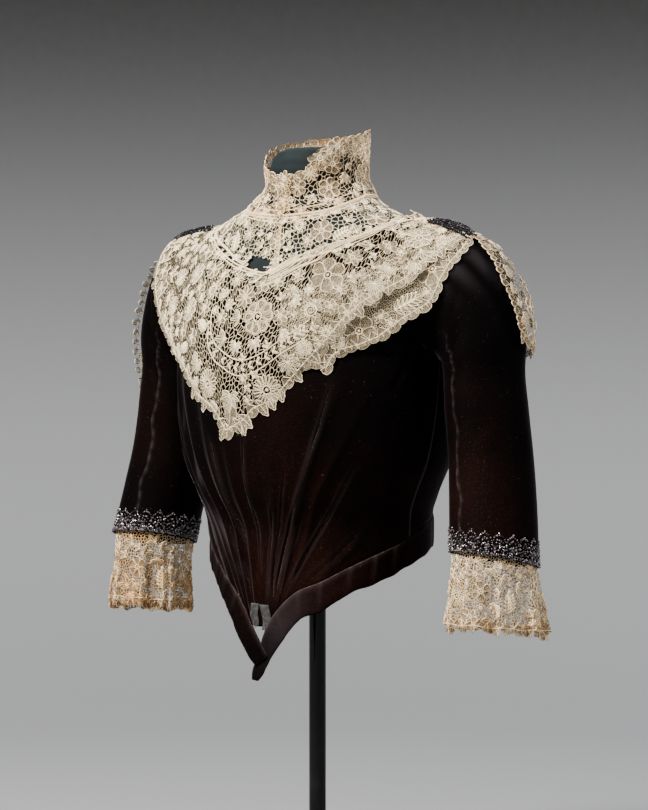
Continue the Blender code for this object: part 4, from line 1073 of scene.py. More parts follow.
# %% Thread and net
THREAD_SHADE, THREAD_FILL = (0.040, 0.029, 0.017, 1), (0.25, 0.195, 0.118, 1)
THREAD_CORD, THREAD_DARK = (0.98, 0.830, 0.545, 1), (0.42, 0.330, 0.200, 1)
THREAD_AGED = (0.80, 0.56, 0.35, 1)
STITCH_PITCH = 1.9
threads, ends_in, ends_out = new_group(
    "lace_thread",
    [("Place", "Vector", None), ("Edge", "Float", 0.3), ("Spine", "Float", 9.0), ("Rib", "Float", 0.0),
     ("Age", "Float", 0.0)],
    [("Colour", "Color"), ("Cover", "Float"), ("Height", "Float")],
)
lace_place, edge, spine, rib, age = list(ends_in.outputs)[:5]
off_edge = between(threads, maths(threads, "ABSOLUTE", edge), 0.22, 0.46)
off_spine = between(threads, maths(threads, "ABSOLUTE", spine), 0.18, 0.42)
cord = maths(threads, "SUBTRACT", 1.0, times(threads, off_edge, off_spine))
wave = maths(threads, "SINE", times(threads, rib, math.tau / STITCH_PITCH))
stitches = maths(threads, "MULTIPLY_ADD", wave, 0.5, 0.5)
fill_part = maths(threads, "SUBTRACT", 1.0, cord)
close = noise(threads, lace_place, 1100.0, 2.0, 0.6)
patches = noise(threads, lace_place, 38.0, 3.0, 0.6)
shaded = blend(threads, between(threads, stitches, 0.15, 0.85), THREAD_SHADE, THREAD_FILL)
body_colour = blend(threads, cord, shaded, THREAD_CORD)
thread_dark = times(threads, between(threads, close, 0.30, 0.60), 0.18)
body_colour = blend(threads, thread_dark, body_colour, THREAD_DARK)
patchy = maths(threads, "MULTIPLY_ADD", between(threads, patches, 0.36, 0.68), 0.6, 0.4)
aged = maths(threads, "MINIMUM", times(threads, maths(threads, "ADD", age, 0.05), patchy), 1.0)
tint = blend(threads, aged, (1.0, 1.0, 1.0, 1), THREAD_AGED)
toned = blend(threads, 1.0, body_colour, tint, blend_type="MULTIPLY")
gauze = maths(threads, "GREATER_THAN", maths(threads, "ADD", stitches, times(threads, cord, 2.0)), 0.40)
fine = maths(threads, "MULTIPLY_ADD", times(threads, stitches, fill_part), 0.6, times(threads, close, 0.4))
fine = maths(threads, "ADD", fine, times(threads, cord, 1.6))
connect(threads, ends_out, Colour=toned, Cover=gauze, Height=fine)

net, ends_in, ends_out = new_group(
    "lace_net",
    [("Cloth", "Vector", None), ("Cell", "Float", 3.6), ("Bar", "Float", 0.13)],
    [("Cover", "Float"), ("Height", "Float")],
)
scaled = add(net, "ShaderNodeVectorMath", {0: ends_in.outputs["Cloth"]}, operation="SCALE")
connect(net, scaled, Scale=maths(net, "DIVIDE", 1.0, ends_in.outputs["Cell"]))
sockets = {"Vector": scaled.outputs[0], "Scale": 1.0, "Randomness": 0.85}
cells = add(net, "ShaderNodeTexVoronoi", sockets, voronoi_dimensions="2D", feature="DISTANCE_TO_EDGE")
off_bar = cells.outputs["Distance"]
bars = maths(net, "LESS_THAN", off_bar, ends_in.outputs["Bar"])
connect(net, ends_out, Cover=bars, Height=maths(net, "SUBTRACT", 1.0, times(net, off_bar, 6.0)))


def net_gaps(tree, cell, bar):
    """Cover and height of a net on the cloth's own coordinates."""
    gaps = add(tree, "ShaderNodeGroup", {"Cloth": on_cloth(tree), "Cell": cell, "Bar": bar}, node_tree=net)
    return gaps.outputs["Cover"], gaps.outputs["Height"]


def lace_material(name, cell=None, bar=0.13):
    """Ivory thread, with a net's gaps cut out of it if a cell size is given, or else its stitches' own."""
    looks = {"Roughness": 0.78, "Sheen_Weight": 0.15, "Sheen_Roughness": 0.5, "Specular_IOR_Level": 0.25}
    made, tree, shader = new_material(name, **looks)
    group = add(tree, "ShaderNodeGroup", node_tree=threads)
    connect(tree, group, Place=object_place(tree), Age=mask(tree, "age"))
    height, cover = group.outputs["Height"], group.outputs["Cover"]
    if cell:
        group.inputs["Edge"].default_value = 0.35
        cover, relief = net_gaps(tree, cell, bar)
        height = maths(tree, "ADD", height, relief)
    else:
        connect(tree, group, Edge=mask(tree, "edge"), Spine=mask(tree, "spine"), Rib=mask(tree, "rib"))
    connect(tree, shader, Base_Color=group.outputs["Colour"], Alpha=cover)
    raise_surface(tree, shader, height, 0.0005, 0.7)
    return made


ground_net = lace_material("ivory_net", cell=5.2, bar=0.058)
fine_net = lace_material("ivory_fine_net", cell=2.3, bar=0.11)
ivory = lace_material("ivory_stitches")
print("lace materials 3")

# %% [markdown]
# ## Sheets seen from inside
# The lace hangs over shoulders, sleeves and neck, so it has no simple formula. Each sheet is seen from a
# point inside it, and its place is one distance for each direction. The distance is taken from the CAD
# solid, smoothed, and kept a little outside the velvet, so that the fine lace lies where the solid is and
# never cuts into the cloth.

# %% Sheets and the places on them
Way = namedtuple("Way", "angle rise")
CHEST = np.array([0.0, 0.0, 640.0])
OVERHANG = (-0.16, 1.10)
BEYOND = 14.0


def direction(angle, rise):
    """Unit vectors at angles from the centre front and rises above level."""
    turn, up = np.radians(angle), np.radians(rise)
    return np.stack([np.sin(turn) * np.cos(up), -np.cos(turn) * np.cos(up), np.sin(up)], axis=-1)


def seen_from(centre, points):
    """Angles and rises at which points are seen from a centre."""
    off = points - centre
    angle = np.degrees(np.arctan2(off[..., 0], -off[..., 1]))
    return angle, np.degrees(np.arctan2(off[..., 2], np.hypot(off[..., 0], off[..., 1])))


def search_tree(objects):
    """One search tree over the meshes of some objects, in millimetres."""
    points, faces = [], []
    for obj in objects:
        start = len(points)
        points += [vertex.co / MM for vertex in obj.data.vertices]
        faces += [[start + i for i in polygon.vertices] for polygon in obj.data.polygons]
    return BVHTree.FromPolygons(points, faces)


def distances(tree, centre, ways, start):
    """How far from a centre the outermost face lies in each direction, or nan where there is none."""
    middle = Vector(centre)
    found = np.full(ways.shape[:-1], np.nan)
    for at in np.ndindex(found.shape):
        way = Vector(ways[at])
        hit = tree.ray_cast(middle + way * start, -way, start * 0.97)[3]
        if hit is not None:
            found[at] = start - hit
    return found


def neighbours(grid, closed, level=False):
    """A grid's four shifted copies. Its edges are carried on straight or level, or joined if it is closed."""
    beyond = {"mode": "edge"} if level else {"mode": "reflect", "reflect_type": "odd"}
    padded = np.pad(grid, ((0, 0), (1, 1)), **beyond)
    padded = np.pad(padded, ((1, 1), (0, 0)), **({"mode": "wrap"} if closed else beyond))
    return np.stack([padded[2:, 1:-1], padded[:-2, 1:-1], padded[1:-1, 2:], padded[1:-1, :-2]])


def smooth_grid(grid, rounds, closed=False):
    """A grid softened by a number of rounds of averaging, after its gaps are filled from their neighbours."""
    for _ in range(400):
        gaps = np.isnan(grid)
        if not gaps.any():
            break
        around = neighbours(grid, closed, level=True)
        count = (~np.isnan(around)).sum(axis=0)
        mean = np.nansum(around, axis=0) / np.maximum(count, 1)
        grid = np.where(gaps & (count > 0), mean, grid)
    for _ in range(rounds):
        grid = 0.5 * grid + 0.125 * neighbours(grid, closed).sum(axis=0)
    return grid


def carried_on(grid, before, after):
    """A grid carried on straight for some rows before its first and after its last."""
    low, high = (grid[:, :1] - grid[:, 4:5]) / 4, (grid[:, -1:] - grid[:, -5:-4]) / 4
    first = grid[:, :1] + low * np.minimum(np.arange(before, 0, -1), 8)
    return np.concatenate([first, grid, grid[:, -1:] + high * np.minimum(np.arange(1, after + 1), 8)], axis=1)


class LaceSheet:
    """A sheet of lace as a grid of points, by the share of the way round it and from its hem to its top."""

    def __init__(
        self, centre, ends, hem, top, size, node, beneath, gap, start=600.0, rounds=12, closed=False,
        rise_kept=None
    ):
        self.centre, self.ends, self.hem, self.top = np.array(centre), ends, hem, top
        self.columns, self.rows, self.closed = size[0], size[1], closed
        u = np.linspace(0, 1, self.columns + 1)
        self.shares = np.linspace(*OVERHANG, self.rows + 1)
        first, last = ends(self.shares[None, :])
        self.angle = first + (last - first) * u[:, None]
        rise = hem(self.angle) * (1 - self.shares) + top(self.angle) * self.shares
        self.ways = direction(self.angle, rise)
        reach = distances(search_tree([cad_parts[node]]), centre, self.ways, start)
        known = (self.shares > -0.004) & (self.shares < 1.004)
        reach = smooth_grid(reach[:, known], rounds, closed)
        reach = carried_on(reach, int((self.shares <= -0.004).sum()), int((self.shares >= 1.004).sum()))
        if beneath is not None:
            under = smooth_grid(distances(beneath, centre, self.ways, start), 2)
            if rise_kept is not None:
                reach = under + gap + (reach - under - gap) * rise_kept(self.angle, rise)
            reach = np.maximum(reach, under + gap)
            reach = np.maximum(smooth_grid(reach, 3), under + 0.6 * gap)
        self.points = self.centre + self.ways * reach[..., None]
        self.find_normals()

    def find_normals(self):
        """Normals of the grid, outwards."""
        across = np.gradient(self.points, axis=0)
        up = np.gradient(self.points, axis=1)
        self.normals = unit(np.cross(across, up))

    def fold(self, folds):
        """Raises folds given by lines of angle and rise."""
        relief = fold_relief(
            self.points, folds, lambda line: self.at(*self.shares_of(line[:, 0], line[:, 1]))[0]
        )[0]
        self.points = self.points + self.normals * relief[..., None]
        self.find_normals()

    def shares_of(self, angle, rise):
        """The shares of places seen from the centre."""
        hem, top = self.hem(angle), self.top(angle)
        share = (rise - hem) / (top - hem)
        first, last = self.ends(share)
        return (angle - first) / (last - first), share

    def at(self, u, share):
        """Points and normals between the grid's own, or carried on straight a little beyond its edges."""
        i = np.asarray(u, float) * self.columns
        j = (np.asarray(share, float) - OVERHANG[0]) / (OVERHANG[1] - OVERHANG[0]) * self.rows
        past_i = np.clip(i - np.clip(i, 0, self.columns), -BEYOND, BEYOND)[..., None]
        past_j = np.clip(j - np.clip(j, 0, self.rows), -BEYOND, BEYOND)[..., None]
        i, j = np.clip(i, 0, self.columns), np.clip(j, 0, self.rows)
        low_i, low_j = np.minimum(i.astype(int), self.columns - 1), np.minimum(j.astype(int), self.rows - 1)
        back_i, back_j = np.clip(low_i - 1, 0, self.columns - 3), np.clip(low_j - 1, 0, self.rows - 3)
        a, b = (i - low_i)[..., None], (j - low_j)[..., None]
        found = []
        for grid in (self.points, self.normals):
            near = grid[low_i, low_j] * (1 - b) + grid[low_i, low_j + 1] * b
            far = grid[low_i + 1, low_j] * (1 - b) + grid[low_i + 1, low_j + 1] * b
            slope_i = (grid[back_i + 3, low_j] - grid[back_i, low_j]) / 3
            slope_j = (grid[low_i, back_j + 3] - grid[low_i, back_j]) / 3
            found.append(near * (1 - a) + far * a + slope_i * past_i + slope_j * past_j)
        return found

    def lay(self, local, u, share, turn=0.0):
        """Lays a flat shape's points on the sheet about a place, turned anticlockwise as seen from outside."""
        middle, normal = (value[0] for value in self.at(np.array([u]), np.array([share])))
        right = unit(np.cross(np.array([0.0, 0.0, 1.0]), normal))
        up = np.cross(normal, right)
        c, s = math.cos(math.radians(turn)), math.sin(math.radians(turn))
        x, y = local[:, 0] * c - local[:, 1] * s, local[:, 0] * s + local[:, 1] * c
        spots = middle + x[:, None] * right + y[:, None] * up
        angle, rise = seen_from(self.centre, spots)
        around = self.angle.mean()
        angle = (angle - around + 180.0) % 360.0 + around - 180.0
        points, normals = self.at(*self.shares_of(angle, rise))
        return points + normals * local[:, 2:3]


def outline(rows):
    """A function for the rise of an outline at an angle."""
    angles, rises = [row.angle for row in rows], [row.rise for row in rows]
    return lambda angle: np.interp(angle, angles, rises)


def edge_seen(centre, angles, points):
    """A function for the rise at which an edge's points are seen, by the angle at which they are seen."""
    angle, rise = seen_from(np.array(centre), points)
    angle = np.degrees(np.unwrap(np.radians(angle)))
    angle += 360.0 * np.round((np.mean(angles) - np.mean(angle)) / 360.0)
    order = np.argsort(angle)
    return lambda at: np.interp(at, angle[order], rise[order])


def straight(first, last):
    """Ends of a sheet that stay at two angles."""
    return lambda share: (np.full(np.shape(share), first), np.full(np.shape(share), last))

# %% [markdown]
# ## Flowers, leaves and cords
# A motif is drawn flat, in millimetres, from one petal shape: a half-width that swells and closes, a cord
# near its outline, and close stitches inside that run along a petal or slant from a leaf's rib. Three
# numbers go with each point: how far it is from its outline's cord, how far from a leaf's rib, and where it
# lies across the stitches. The material draws thin cords from them, so a petal needs only a few faces.

# %% Petals
Motif = namedtuple("Motif", "points faces edge spine rib")
FAR = 9.0
CORD_HEIGHT = 1.15
FILL_HEIGHT = 0.30
FINE_ALONG = (0.0, 0.14, 0.34, 0.55, 0.74, 0.87, 0.945, 1.0)
FINE_ACROSS = (-1.0, -0.80, -0.56, -0.24, 0.0, 0.24, 0.56, 0.80, 1.0)
PLAIN_ALONG = (0.0, 0.45, 0.86, 1.0)
PLAIN_ACROSS = (-1.0, -0.72, -0.36, 0.36, 0.72, 1.0)


def petal(length, width, fullness=1.3, bluntness=0.62, slanting=False, fine=True, teeth=0, doubled=False):
    """A petal or leaf from its foot upwards. Slanting stitches and teeth make it a leaf."""
    along, across = (FINE_ALONG, FINE_ACROSS) if fine else (PLAIN_ALONG, PLAIN_ACROSS)
    if teeth:
        along = np.linspace(0, 1, 2 * teeth + 3)
    s, t = np.meshgrid(along, across, indexing="ij")
    half = np.maximum(np.sin(np.pi * s**fullness), 0.0) ** bluntness * width / 2
    half = np.maximum(half, 0.11 * width)
    if teeth:
        step = (np.arange(len(along)) % 2)[:, None]
        half = half * (1.0 - 0.16 * step)
    x, y = t * half, s * length
    edge = np.minimum((1 - np.abs(t)) * half, (1 - s) * length + 0.15) - (0.5 if fine else 0.35)
    cord = bell(edge / 0.75)
    spine = np.full(x.shape, FAR)
    if doubled:
        spine = edge - 1.9
    if slanting:
        spine = np.where(s < 0.9, x, FAR)
        cord = np.maximum(cord, bell(x / 0.8) * (s < 0.9))
    height = FILL_HEIGHT + (CORD_HEIGHT - FILL_HEIGHT) * cord
    height = np.where((np.abs(t) > 0.99) | (s > 0.999), 0.05, height)
    rib = y + 0.75 * np.abs(x) if slanting else t * width / 2
    points = np.stack([x, y, height], axis=-1).reshape(-1, 3)
    faces = grid_faces(len(along) - 1, len(across) - 1)[:, ::-1]
    return Motif(points, faces, edge.ravel(), spine.ravel(), rib.ravel())


def moved(motif, turn=0.0, x=0.0, y=0.0, lift=0.0):
    """A motif turned and then moved in its own plane."""
    c, s = math.cos(math.radians(turn)), math.sin(math.radians(turn))
    points = motif.points.copy()
    points[:, 0] = motif.points[:, 0] * c - motif.points[:, 1] * s + x
    points[:, 1] = motif.points[:, 0] * s + motif.points[:, 1] * c + y
    points[:, 2] += lift
    return motif._replace(points=points)


def joined(motifs):
    """Several motifs as one."""
    starts = np.concatenate(([0], np.cumsum([len(one.points) for one in motifs])))[:-1]
    faces = np.concatenate([one.faces + start for one, start in zip(motifs, starts)])
    parts = [
        np.concatenate([getattr(one, name) for one in motifs]) for name in ("points", "edge", "spine", "rib")
    ]
    return Motif(parts[0], faces, *parts[1:])


def all_cord(points, faces, edge=0.0):
    """A shape that is cord all over, or a coil whose cord runs where its own edge is 0."""
    return Motif(
        points, faces, edge + np.zeros(len(points)), np.full(len(points), FAR), np.zeros(len(points))
    )


def turned_flat(turn, radii, height):
    """Points at some radii and heights, turned by some angles."""
    x, y = np.cos(turn)[:, None] * radii, np.sin(turn)[:, None] * radii
    return np.stack([x, y, np.broadcast_to(height, x.shape)], axis=-1).reshape(-1, 3)


def ring(radius, thick, sides):
    """A raised ring, as at a flower's eye."""
    turn = np.linspace(0, math.tau, sides, endpoint=False)
    steps = np.radians([0.0, 60.0, 120.0, 180.0])
    points = turned_flat(turn, radius + thick * np.cos(steps), 0.15 + CORD_HEIGHT * np.sin(steps))
    return all_cord(points, grid_faces(sides, 3, closed=True)[:, ::-1])


def dome(radius, lift=0.5, sides=7):
    """A small raised knot of thread."""
    turn = np.linspace(0, math.tau, sides, endpoint=False)
    steps = np.radians([0.0, 50.0, 88.0])
    points = turned_flat(turn, radius * np.cos(steps), radius * 0.8 * np.sin(steps) + lift)
    return all_cord(points, grid_faces(sides, 2, closed=True), 0.25)


def flower(radius, petals, eye=0.24, width=None, fine=True, knot=True, **shape):
    """Petals round an eye."""
    inner = radius * eye
    wide = width or 2.0 * math.pi * radius * 0.62 / petals
    made = []
    for i in range(petals):
        one = moved(petal(radius - inner, wide * chance.uniform(0.92, 1.06), fine=fine, **shape), y=inner)
        made.append(moved(one, 360.0 * i / petals + chance.uniform(-4, 4), lift=0.12 * (i % 2)))
    made.append(ring(max(inner * 0.95, 1.1), 0.55 if fine else 0.5, 14 if fine else 8))
    if knot:
        made.append(dome(max(inner * 0.35, 0.6)))
    return joined(made)


def spray(radius, leaves=7, spread=210.0):
    """Toothed leaves fanned from one stem."""
    made = []
    for i in range(leaves):
        off = i / (leaves - 1) - 0.5
        long = radius * (1.0 - 0.35 * abs(2 * off))
        leaf = petal(
            long, radius * 0.40, 0.9, 0.8, slanting=True, teeth=3 if radius > 14 else 0, fine=radius > 14
        )
        made.append(moved(leaf, spread * off, lift=0.1 * (i % 2)))
    return joined(made)


def branch(radius, pairs=5):
    """A long leaf made of pairs of narrow leaflets on a stem."""
    made = []
    for i in range(pairs):
        foot = radius * (-0.8 + 1.35 * i / pairs)
        long = radius * (0.85 - 0.35 * abs(i / pairs - 0.35))
        for side in (-1, 1):
            leaflet = petal(long, radius * 0.25, 1.0, 0.75, fine=False)
            made.append(moved(leaflet, side * (52 - 5 * i), 0.0, foot, 0.08 * i))
    tip = petal(radius * 0.8, radius * 0.34, 1.0, 0.8, slanting=True, fine=False)
    made.append(moved(tip, y=radius * 0.45, lift=0.3))
    stem = petal(radius * 1.5, radius * 0.10, 1.0, 0.3, fine=False)
    made.append(moved(stem, y=-radius * 0.9, lift=0.35))
    return joined(made)


def rose(radius):
    """A coiled strip inside a ring of small petals."""
    turns = np.linspace(0, 2.6 * math.tau, 44)
    r = 0.8 + (radius * 0.62 - 0.8) * turns / turns[-1]
    wide = np.array([-0.75, 0.0, 0.75])
    points = turned_flat(turns, r[:, None] + wide, np.array([0.15, 1.05, 0.15]) + 0.35)
    coil = all_cord(points, grid_faces(len(turns) - 1, 2)[:, ::-1], np.tile(wide, len(turns)))
    return joined([flower(radius, 9, 0.5, fine=False, knot=False), coil])


def small_flower(radius):
    """A little flower with plain petals."""
    return flower(radius, int(chance.integers(5, 7)), 0.22, fine=False, fullness=1.4, bluntness=0.5)


def small_leaf(radius):
    """Two or three plain leaves on one stem."""
    made = [moved(petal(radius * 1.7, radius * 0.8, 0.95, 0.8, slanting=True, fine=False), y=-radius * 0.8)]
    for side in (-1, 1):
        one = petal(radius * 1.15, radius * 0.6, 1.0, 0.8, slanting=True, fine=False)
        made.append(moved(one, side * 58, 0.0, -radius * 0.5, 0.15))
    return joined(made)


MOTIFS = {
    "daisy": lambda r: flower(r, 17, 0.30, width=r * 0.30, fullness=1.9, bluntness=0.45),
    "broad": lambda r: flower(r, 8, 0.27, width=r * 0.66, fullness=1.7, bluntness=0.45, doubled=True),
    "star": lambda r: flower(r, 8, 0.16, width=r * 0.42, fullness=1.0, bluntness=0.9),
    "round": lambda r: flower(r, 6, 0.22, width=r * 0.78, fullness=1.5, bluntness=0.45),
    "spray": spray,
    "branch": branch,
    "rose": rose,
    "small": small_flower,
    "fan": lambda r: moved(spray(r * 1.5, 5, 130.0), y=-r * 0.7),
    "leaf": small_leaf,
    "tip": lambda r: petal(2 * r, 1.5 * r, 0.85, 0.75, slanting=True, teeth=7),
}
Place = namedtuple("Place", "kind angle rise radius turn")
FILLING_KINDS = ("small", "leaf", "fan")
CORD_LIFT = 0.2


class LaceWork:
    """Collects the raised work of one piece of lace."""

    def __init__(self, sheet):
        self.sheet = sheet
        self.laid = {name: [] for name in ("points", "faces", "edge", "spine", "rib", "age")}
        self.count = 0
        self.spots, self.radii = [], []

    def keep(self, points, faces, edge, spine, rib, age):
        """Adds a laid shape."""
        values = (points, faces + self.count, edge, spine, rib, np.full(len(points), age))
        for rows, value in zip(self.laid.values(), values):
            rows.append(value)
        self.count += len(points)

    def put(self, motif, u, share, turn=0.0, age=0.0, radius=None):
        """Lays a motif at shares of the sheet."""
        self.keep(self.sheet.lay(motif.points, u, share, turn), *motif[1:], age)
        if radius:
            self.spots.append(self.sheet.at(np.array([u]), np.array([share]))[0][0])
            self.radii.append(radius)

    def put_all(self, places, age=0.0):
        """Lays the listed motifs."""
        for one in places:
            u, share = self.sheet.shares_of(np.array([float(one.angle)]), np.array([float(one.rise)]))
            self.put(MOTIFS[one.kind](one.radius), u[0], share[0], one.turn, age, one.radius)

    def put_seen(self, kind, spot, radius, turn, age=0.0):
        """Lays a motif where a place in millimetres is seen on the sheet."""
        angle, rise = seen_from(self.sheet.centre, np.array(spot, float))
        self.put_all([Place(kind, angle, rise, radius, turn)], age)

    def scatter(self, radii, tries, keep=lambda u, share, spot: True, age=0.0, close=1.0):
        """Fills what is left with small motifs that don't crowd each other."""
        for radius in radii:
            for _ in range(tries):
                u, share = chance.uniform(0.012, 0.988), chance.uniform(0.03, 0.985)
                spot = self.sheet.at(np.array([u]), np.array([share]))[0][0]
                if not keep(u, share, spot):
                    continue
                if self.spots:
                    gaps = np.linalg.norm(np.array(self.spots) - spot, axis=1)
                    if (gaps < close * (np.array(self.radii) + radius)).any():
                        continue
                kind = FILLING_KINDS[int(chance.integers(len(FILLING_KINDS)))]
                motif = MOTIFS[kind](radius * chance.uniform(0.95, 1.08))
                self.put(motif, u, share, chance.uniform(0, 360), age, radius)

    def cord_along(self, u, share, radius=0.75, age=0.0):
        """Lays a cord through places on the sheet."""
        points, normals = self.sheet.at(np.asarray(u, float), np.asarray(share, float))
        ways = unit(np.gradient(points, axis=0))
        aside = np.cross(ways, normals)
        turn = np.radians([0.0, 45.0, 90.0, 135.0, 180.0])
        rings = points[:, None] + aside[:, None] * (radius * np.cos(turn))[None, :, None]
        rings = rings + normals[:, None] * (CORD_LIFT + 1.1 * radius * np.sin(turn))[None, :, None]
        runs = np.concatenate(([0.0], np.cumsum(np.linalg.norm(np.diff(points, axis=0), axis=1))))
        rib = np.repeat(runs, 5) * 0.9 + np.tile(np.arange(5) * 0.3, len(points))
        faces = grid_faces(len(points) - 1, 4)
        count = 5 * len(points)
        self.keep(rings.reshape(-1, 3), faces, np.full(count, 0.27), np.full(count, FAR), rib, age)

    def cord_round(self, share, count, radius=0.75, age=0.0):
        """Lays a cord along the whole sheet at one share of its height."""
        self.cord_along(np.linspace(0, 1, count), np.full(count, share), radius, age)

    def scallops(self, share, pitch, length, age=0.0, inward=2.5, upward=False, uneven=0.25, leaves=False):
        """A row of uneven petals, and leaves, along an edge, hanging from it or standing on it."""
        fine = np.linspace(0.0, 1.0, 1200)
        line = self.sheet.at(fine, np.full(fine.shape, share))[0]
        runs = np.concatenate(([0.0], np.cumsum(np.linalg.norm(np.diff(line, axis=0), axis=1))))
        count = max(int(round(runs[-1] / pitch)), 1)
        places = np.interp((np.arange(count) + 0.5) * runs[-1] / count, runs, fine)
        for i, u in enumerate(places + chance.uniform(-uneven, uneven, count) / (2 * count)):
            ahead = self.sheet.at(clamped([u + 0.004, u - 0.004]), np.array([share, share]))[0]
            normal = self.sheet.at(np.array([u]), np.array([share]))[1][0]
            right = unit(np.cross(np.array([0.0, 0.0, 1.0]), normal))
            way = ahead[0] - ahead[1]
            slope = math.degrees(math.atan2(way @ np.cross(normal, right), way @ right))
            size = chance.uniform(1.0 - uneven, 1.0 + uneven)
            lobe = petal(
                length * size + inward, pitch * 1.12 * (0.5 + 0.5 * size), 1.55, 0.42, fine=length > 5
            )
            if leaves and chance.uniform() < 0.45:
                lobe = petal(1.3 * length * size + inward, pitch, 0.9, 0.75, slanting=True, teeth=3)
                slope += chance.uniform(-30, 30)
            lobe = moved(lobe, y=-inward, lift=0.1 * (i % 2))
            self.put(lobe, u, share, slope + (0.0 if upward else 180.0), age)

    def finish(self, name):
        """The whole work as one piece."""
        points, faces, *rest = (np.concatenate(rows) for rows in self.laid.values())
        made = new_mesh(name, points, faces, ivory, masks=dict(zip(("edge", "spine", "rib", "age"), rest)))
        return dress(made, "lace")


def net_sheet(name, sheet, finish, node, age, keep=None, low=0.0, high=1.0, sink=0.0):
    """The ground of a piece of lace: the part of its sheet between hem and top."""
    rows = (sheet.shares >= low - 1e-6) & (sheet.shares <= high + 1e-6)
    points = sheet.points[:, rows] - sheet.normals[:, rows] * sink
    masks = {"age": np.full(points.shape[:2], age)}
    return dress(cloth_mesh(name, points, finish, masks, keep), "lace", node)

# %% [markdown]
# ## The bertha
# The under tier shows on the wearer's left only, the over tier covers the front, and the cape hangs behind
# from shoulder to shoulder. The largest flowers and leaves are placed one by one as they lie on the real lace,
# and the rest is filled with small ones.

# %% The bertha's outlines
BERTHA_TOP = table(Way, [
    (-92, 42.4), (-66, 37), (-42, 34.6), (-20, 31.8), (3, 28.5), (27, 35.2), (49, 38.8), (67, 39.3),
    (92, 42.4),
])
OVER_HEM = table(Way, [
    (-92, 25), (-86, 20.5), (-80, 14), (-74.6, 6), (-65.7, -3.3), (-61.5, -7.1), (-54.6, -15.7),
    (-48, -17.5), (-40.6, -22), (-29.3, -31), (-13.7, -37), (-9, -43.2), (2.7, -40), (8.8, -36),
    (16.5, -34), (25, -28), (34, -18.7), (42, -10.2), (49, -1), (56.7, 6.5), (62, 9.5), (71, 13.6),
    (75.5, 18), (86.6, 23.4), (92, 24.3),
])
UNDER_HEM = table(Way, [
    (22, -16), (34, -18.7), (39.8, -17.9), (43.2, -20.5), (46, -15), (49.8, -12), (56.4, -10), (62.9, -6.5),
    (69.8, 0.5), (75.5, 5), (78.4, 11.5), (81, 15.7), (85.4, 19.2), (92, 24.3),
])
CAPE_TOP = table(Way, [
    (92, 42.4), (121, 47.6), (148, 54), (180, 56.4), (212, 54), (239, 47.6), (268, 42.4),
])
CAPE_HEM = table(Way, [
    (92, -2.5), (97, -5.5), (108, -9), (130, -18), (155, -26), (180, -30), (205, -28), (225, -26),
    (245, -23), (258, -19), (268, -16.5),
])
velvet_pieces = [front_left, front_right, back, form] + list(sleeves.values())
velvet_tree = search_tree(velvet_pieces)
under_sheet = LaceSheet(
    CHEST, straight(22.0, 91.82), outline(UNDER_HEM), outline(BERTHA_TOP), (100, 84), "bertha_under",
    velvet_tree, 1.0
)
print("under tier", under_sheet.points.shape)

# %% The under tier
UNDER_PLACES = table(Place, [
    ("round", 78.2, 15.5, 19, 10), ("branch", 71, 5.5, 17, -60), ("round", 56.4, -4.1, 17, 20),
    ("small", 63.9, 1.3, 8, 0), ("tip", 43, -14, 8, 180), ("daisy", 48, -8.5, 9, 0),
    ("small", 66.5, -1, 6, 0), ("small", 72.5, 13.5, 7, 0), ("leaf", 84, 21.5, 7, 30),
])
UNDER_SEEN = 0.62
under_net = net_sheet("lace_under_net", under_sheet, fine_net, "bertha_under", 0.05, high=UNDER_SEEN)
under_work = LaceWork(under_sheet)
under_work.put_all(UNDER_PLACES)
under_work.scatter((8.0, 6.0), 500, lambda u, share, spot: share < UNDER_SEEN)
under_work.scallops(0.012, 12.0, 6.5, inward=7.0)
under_work.scallops(0.0, 7.0, 3.0)
under_work.cord_round(0.012, 200, 0.6)
under_flowers = under_work.finish("lace_under_flowers")
print("under tier faces", len(under_flowers.data.polygons))

# %% The over tier
ROLL_FOLDS = table(Fold, [
    ([(6, 27), (23, 31.5), (36, 33), (51, 34.2), (64, 35), (76, 36), (89, 38.5)], -5.2, 3.4, 0),
    ([(10, 24.8), (23, 28.6), (36, 29.4), (51, 30.4), (64, 31), (76, 32.2), (88, 35)], -3.6, 2.4, 0),
    ([(24, 25.4), (36, 26), (50, 27), (64, 27.6), (76, 29), (87, 32)], -2.4, 2.6, 0),
    ([(34, 21.8), (48, 23), (62, 24.2), (74, 26), (84, 29)], -1.6, 2.6, 0),
    ([(20, 19.5), (34, 20), (44, 20.5)], 1, 2.2, 0),
    ([(-22, 29.8), (-42, 32.4), (-66, 34.6), (-86, 38)], -1.2, 2.4, 0),
    ([(-50, 30), (-62, 22), (-72, 12), (-76, 4)], 1.8, 3.2, 0),
    ([(-40, 26), (-50, 14), (-56, 2), (-58, -8)], -1.4, 4, 0), ([(30, 14), (38, 4), (42, -6)], -1.5, 4, 0),
    ([(40, 16), (48, 8), (53, 2)], 1.4, 2.8, 0), ([(-20, 8), (-28, -8), (-32, -20)], -1, 4.5, 0),
    ([(60, 22), (66, 16), (70, 14)], 1.2, 2.4, 0),
])
over_tree = search_tree(velvet_pieces + [under_net, under_flowers])


def rim_settled(angle, rise):
    """How much of the over tier's own fullness is kept: less where its rim lies on the yoke."""
    near_rim = clamped((rise - outline(BERTHA_TOP)(angle) + 9.0) / 7.0)
    at_shoulders = clamped((np.abs(angle) - 50.0) / 15.0)
    return 1.0 - (0.7 + 0.25 * at_shoulders) * near_rim**2


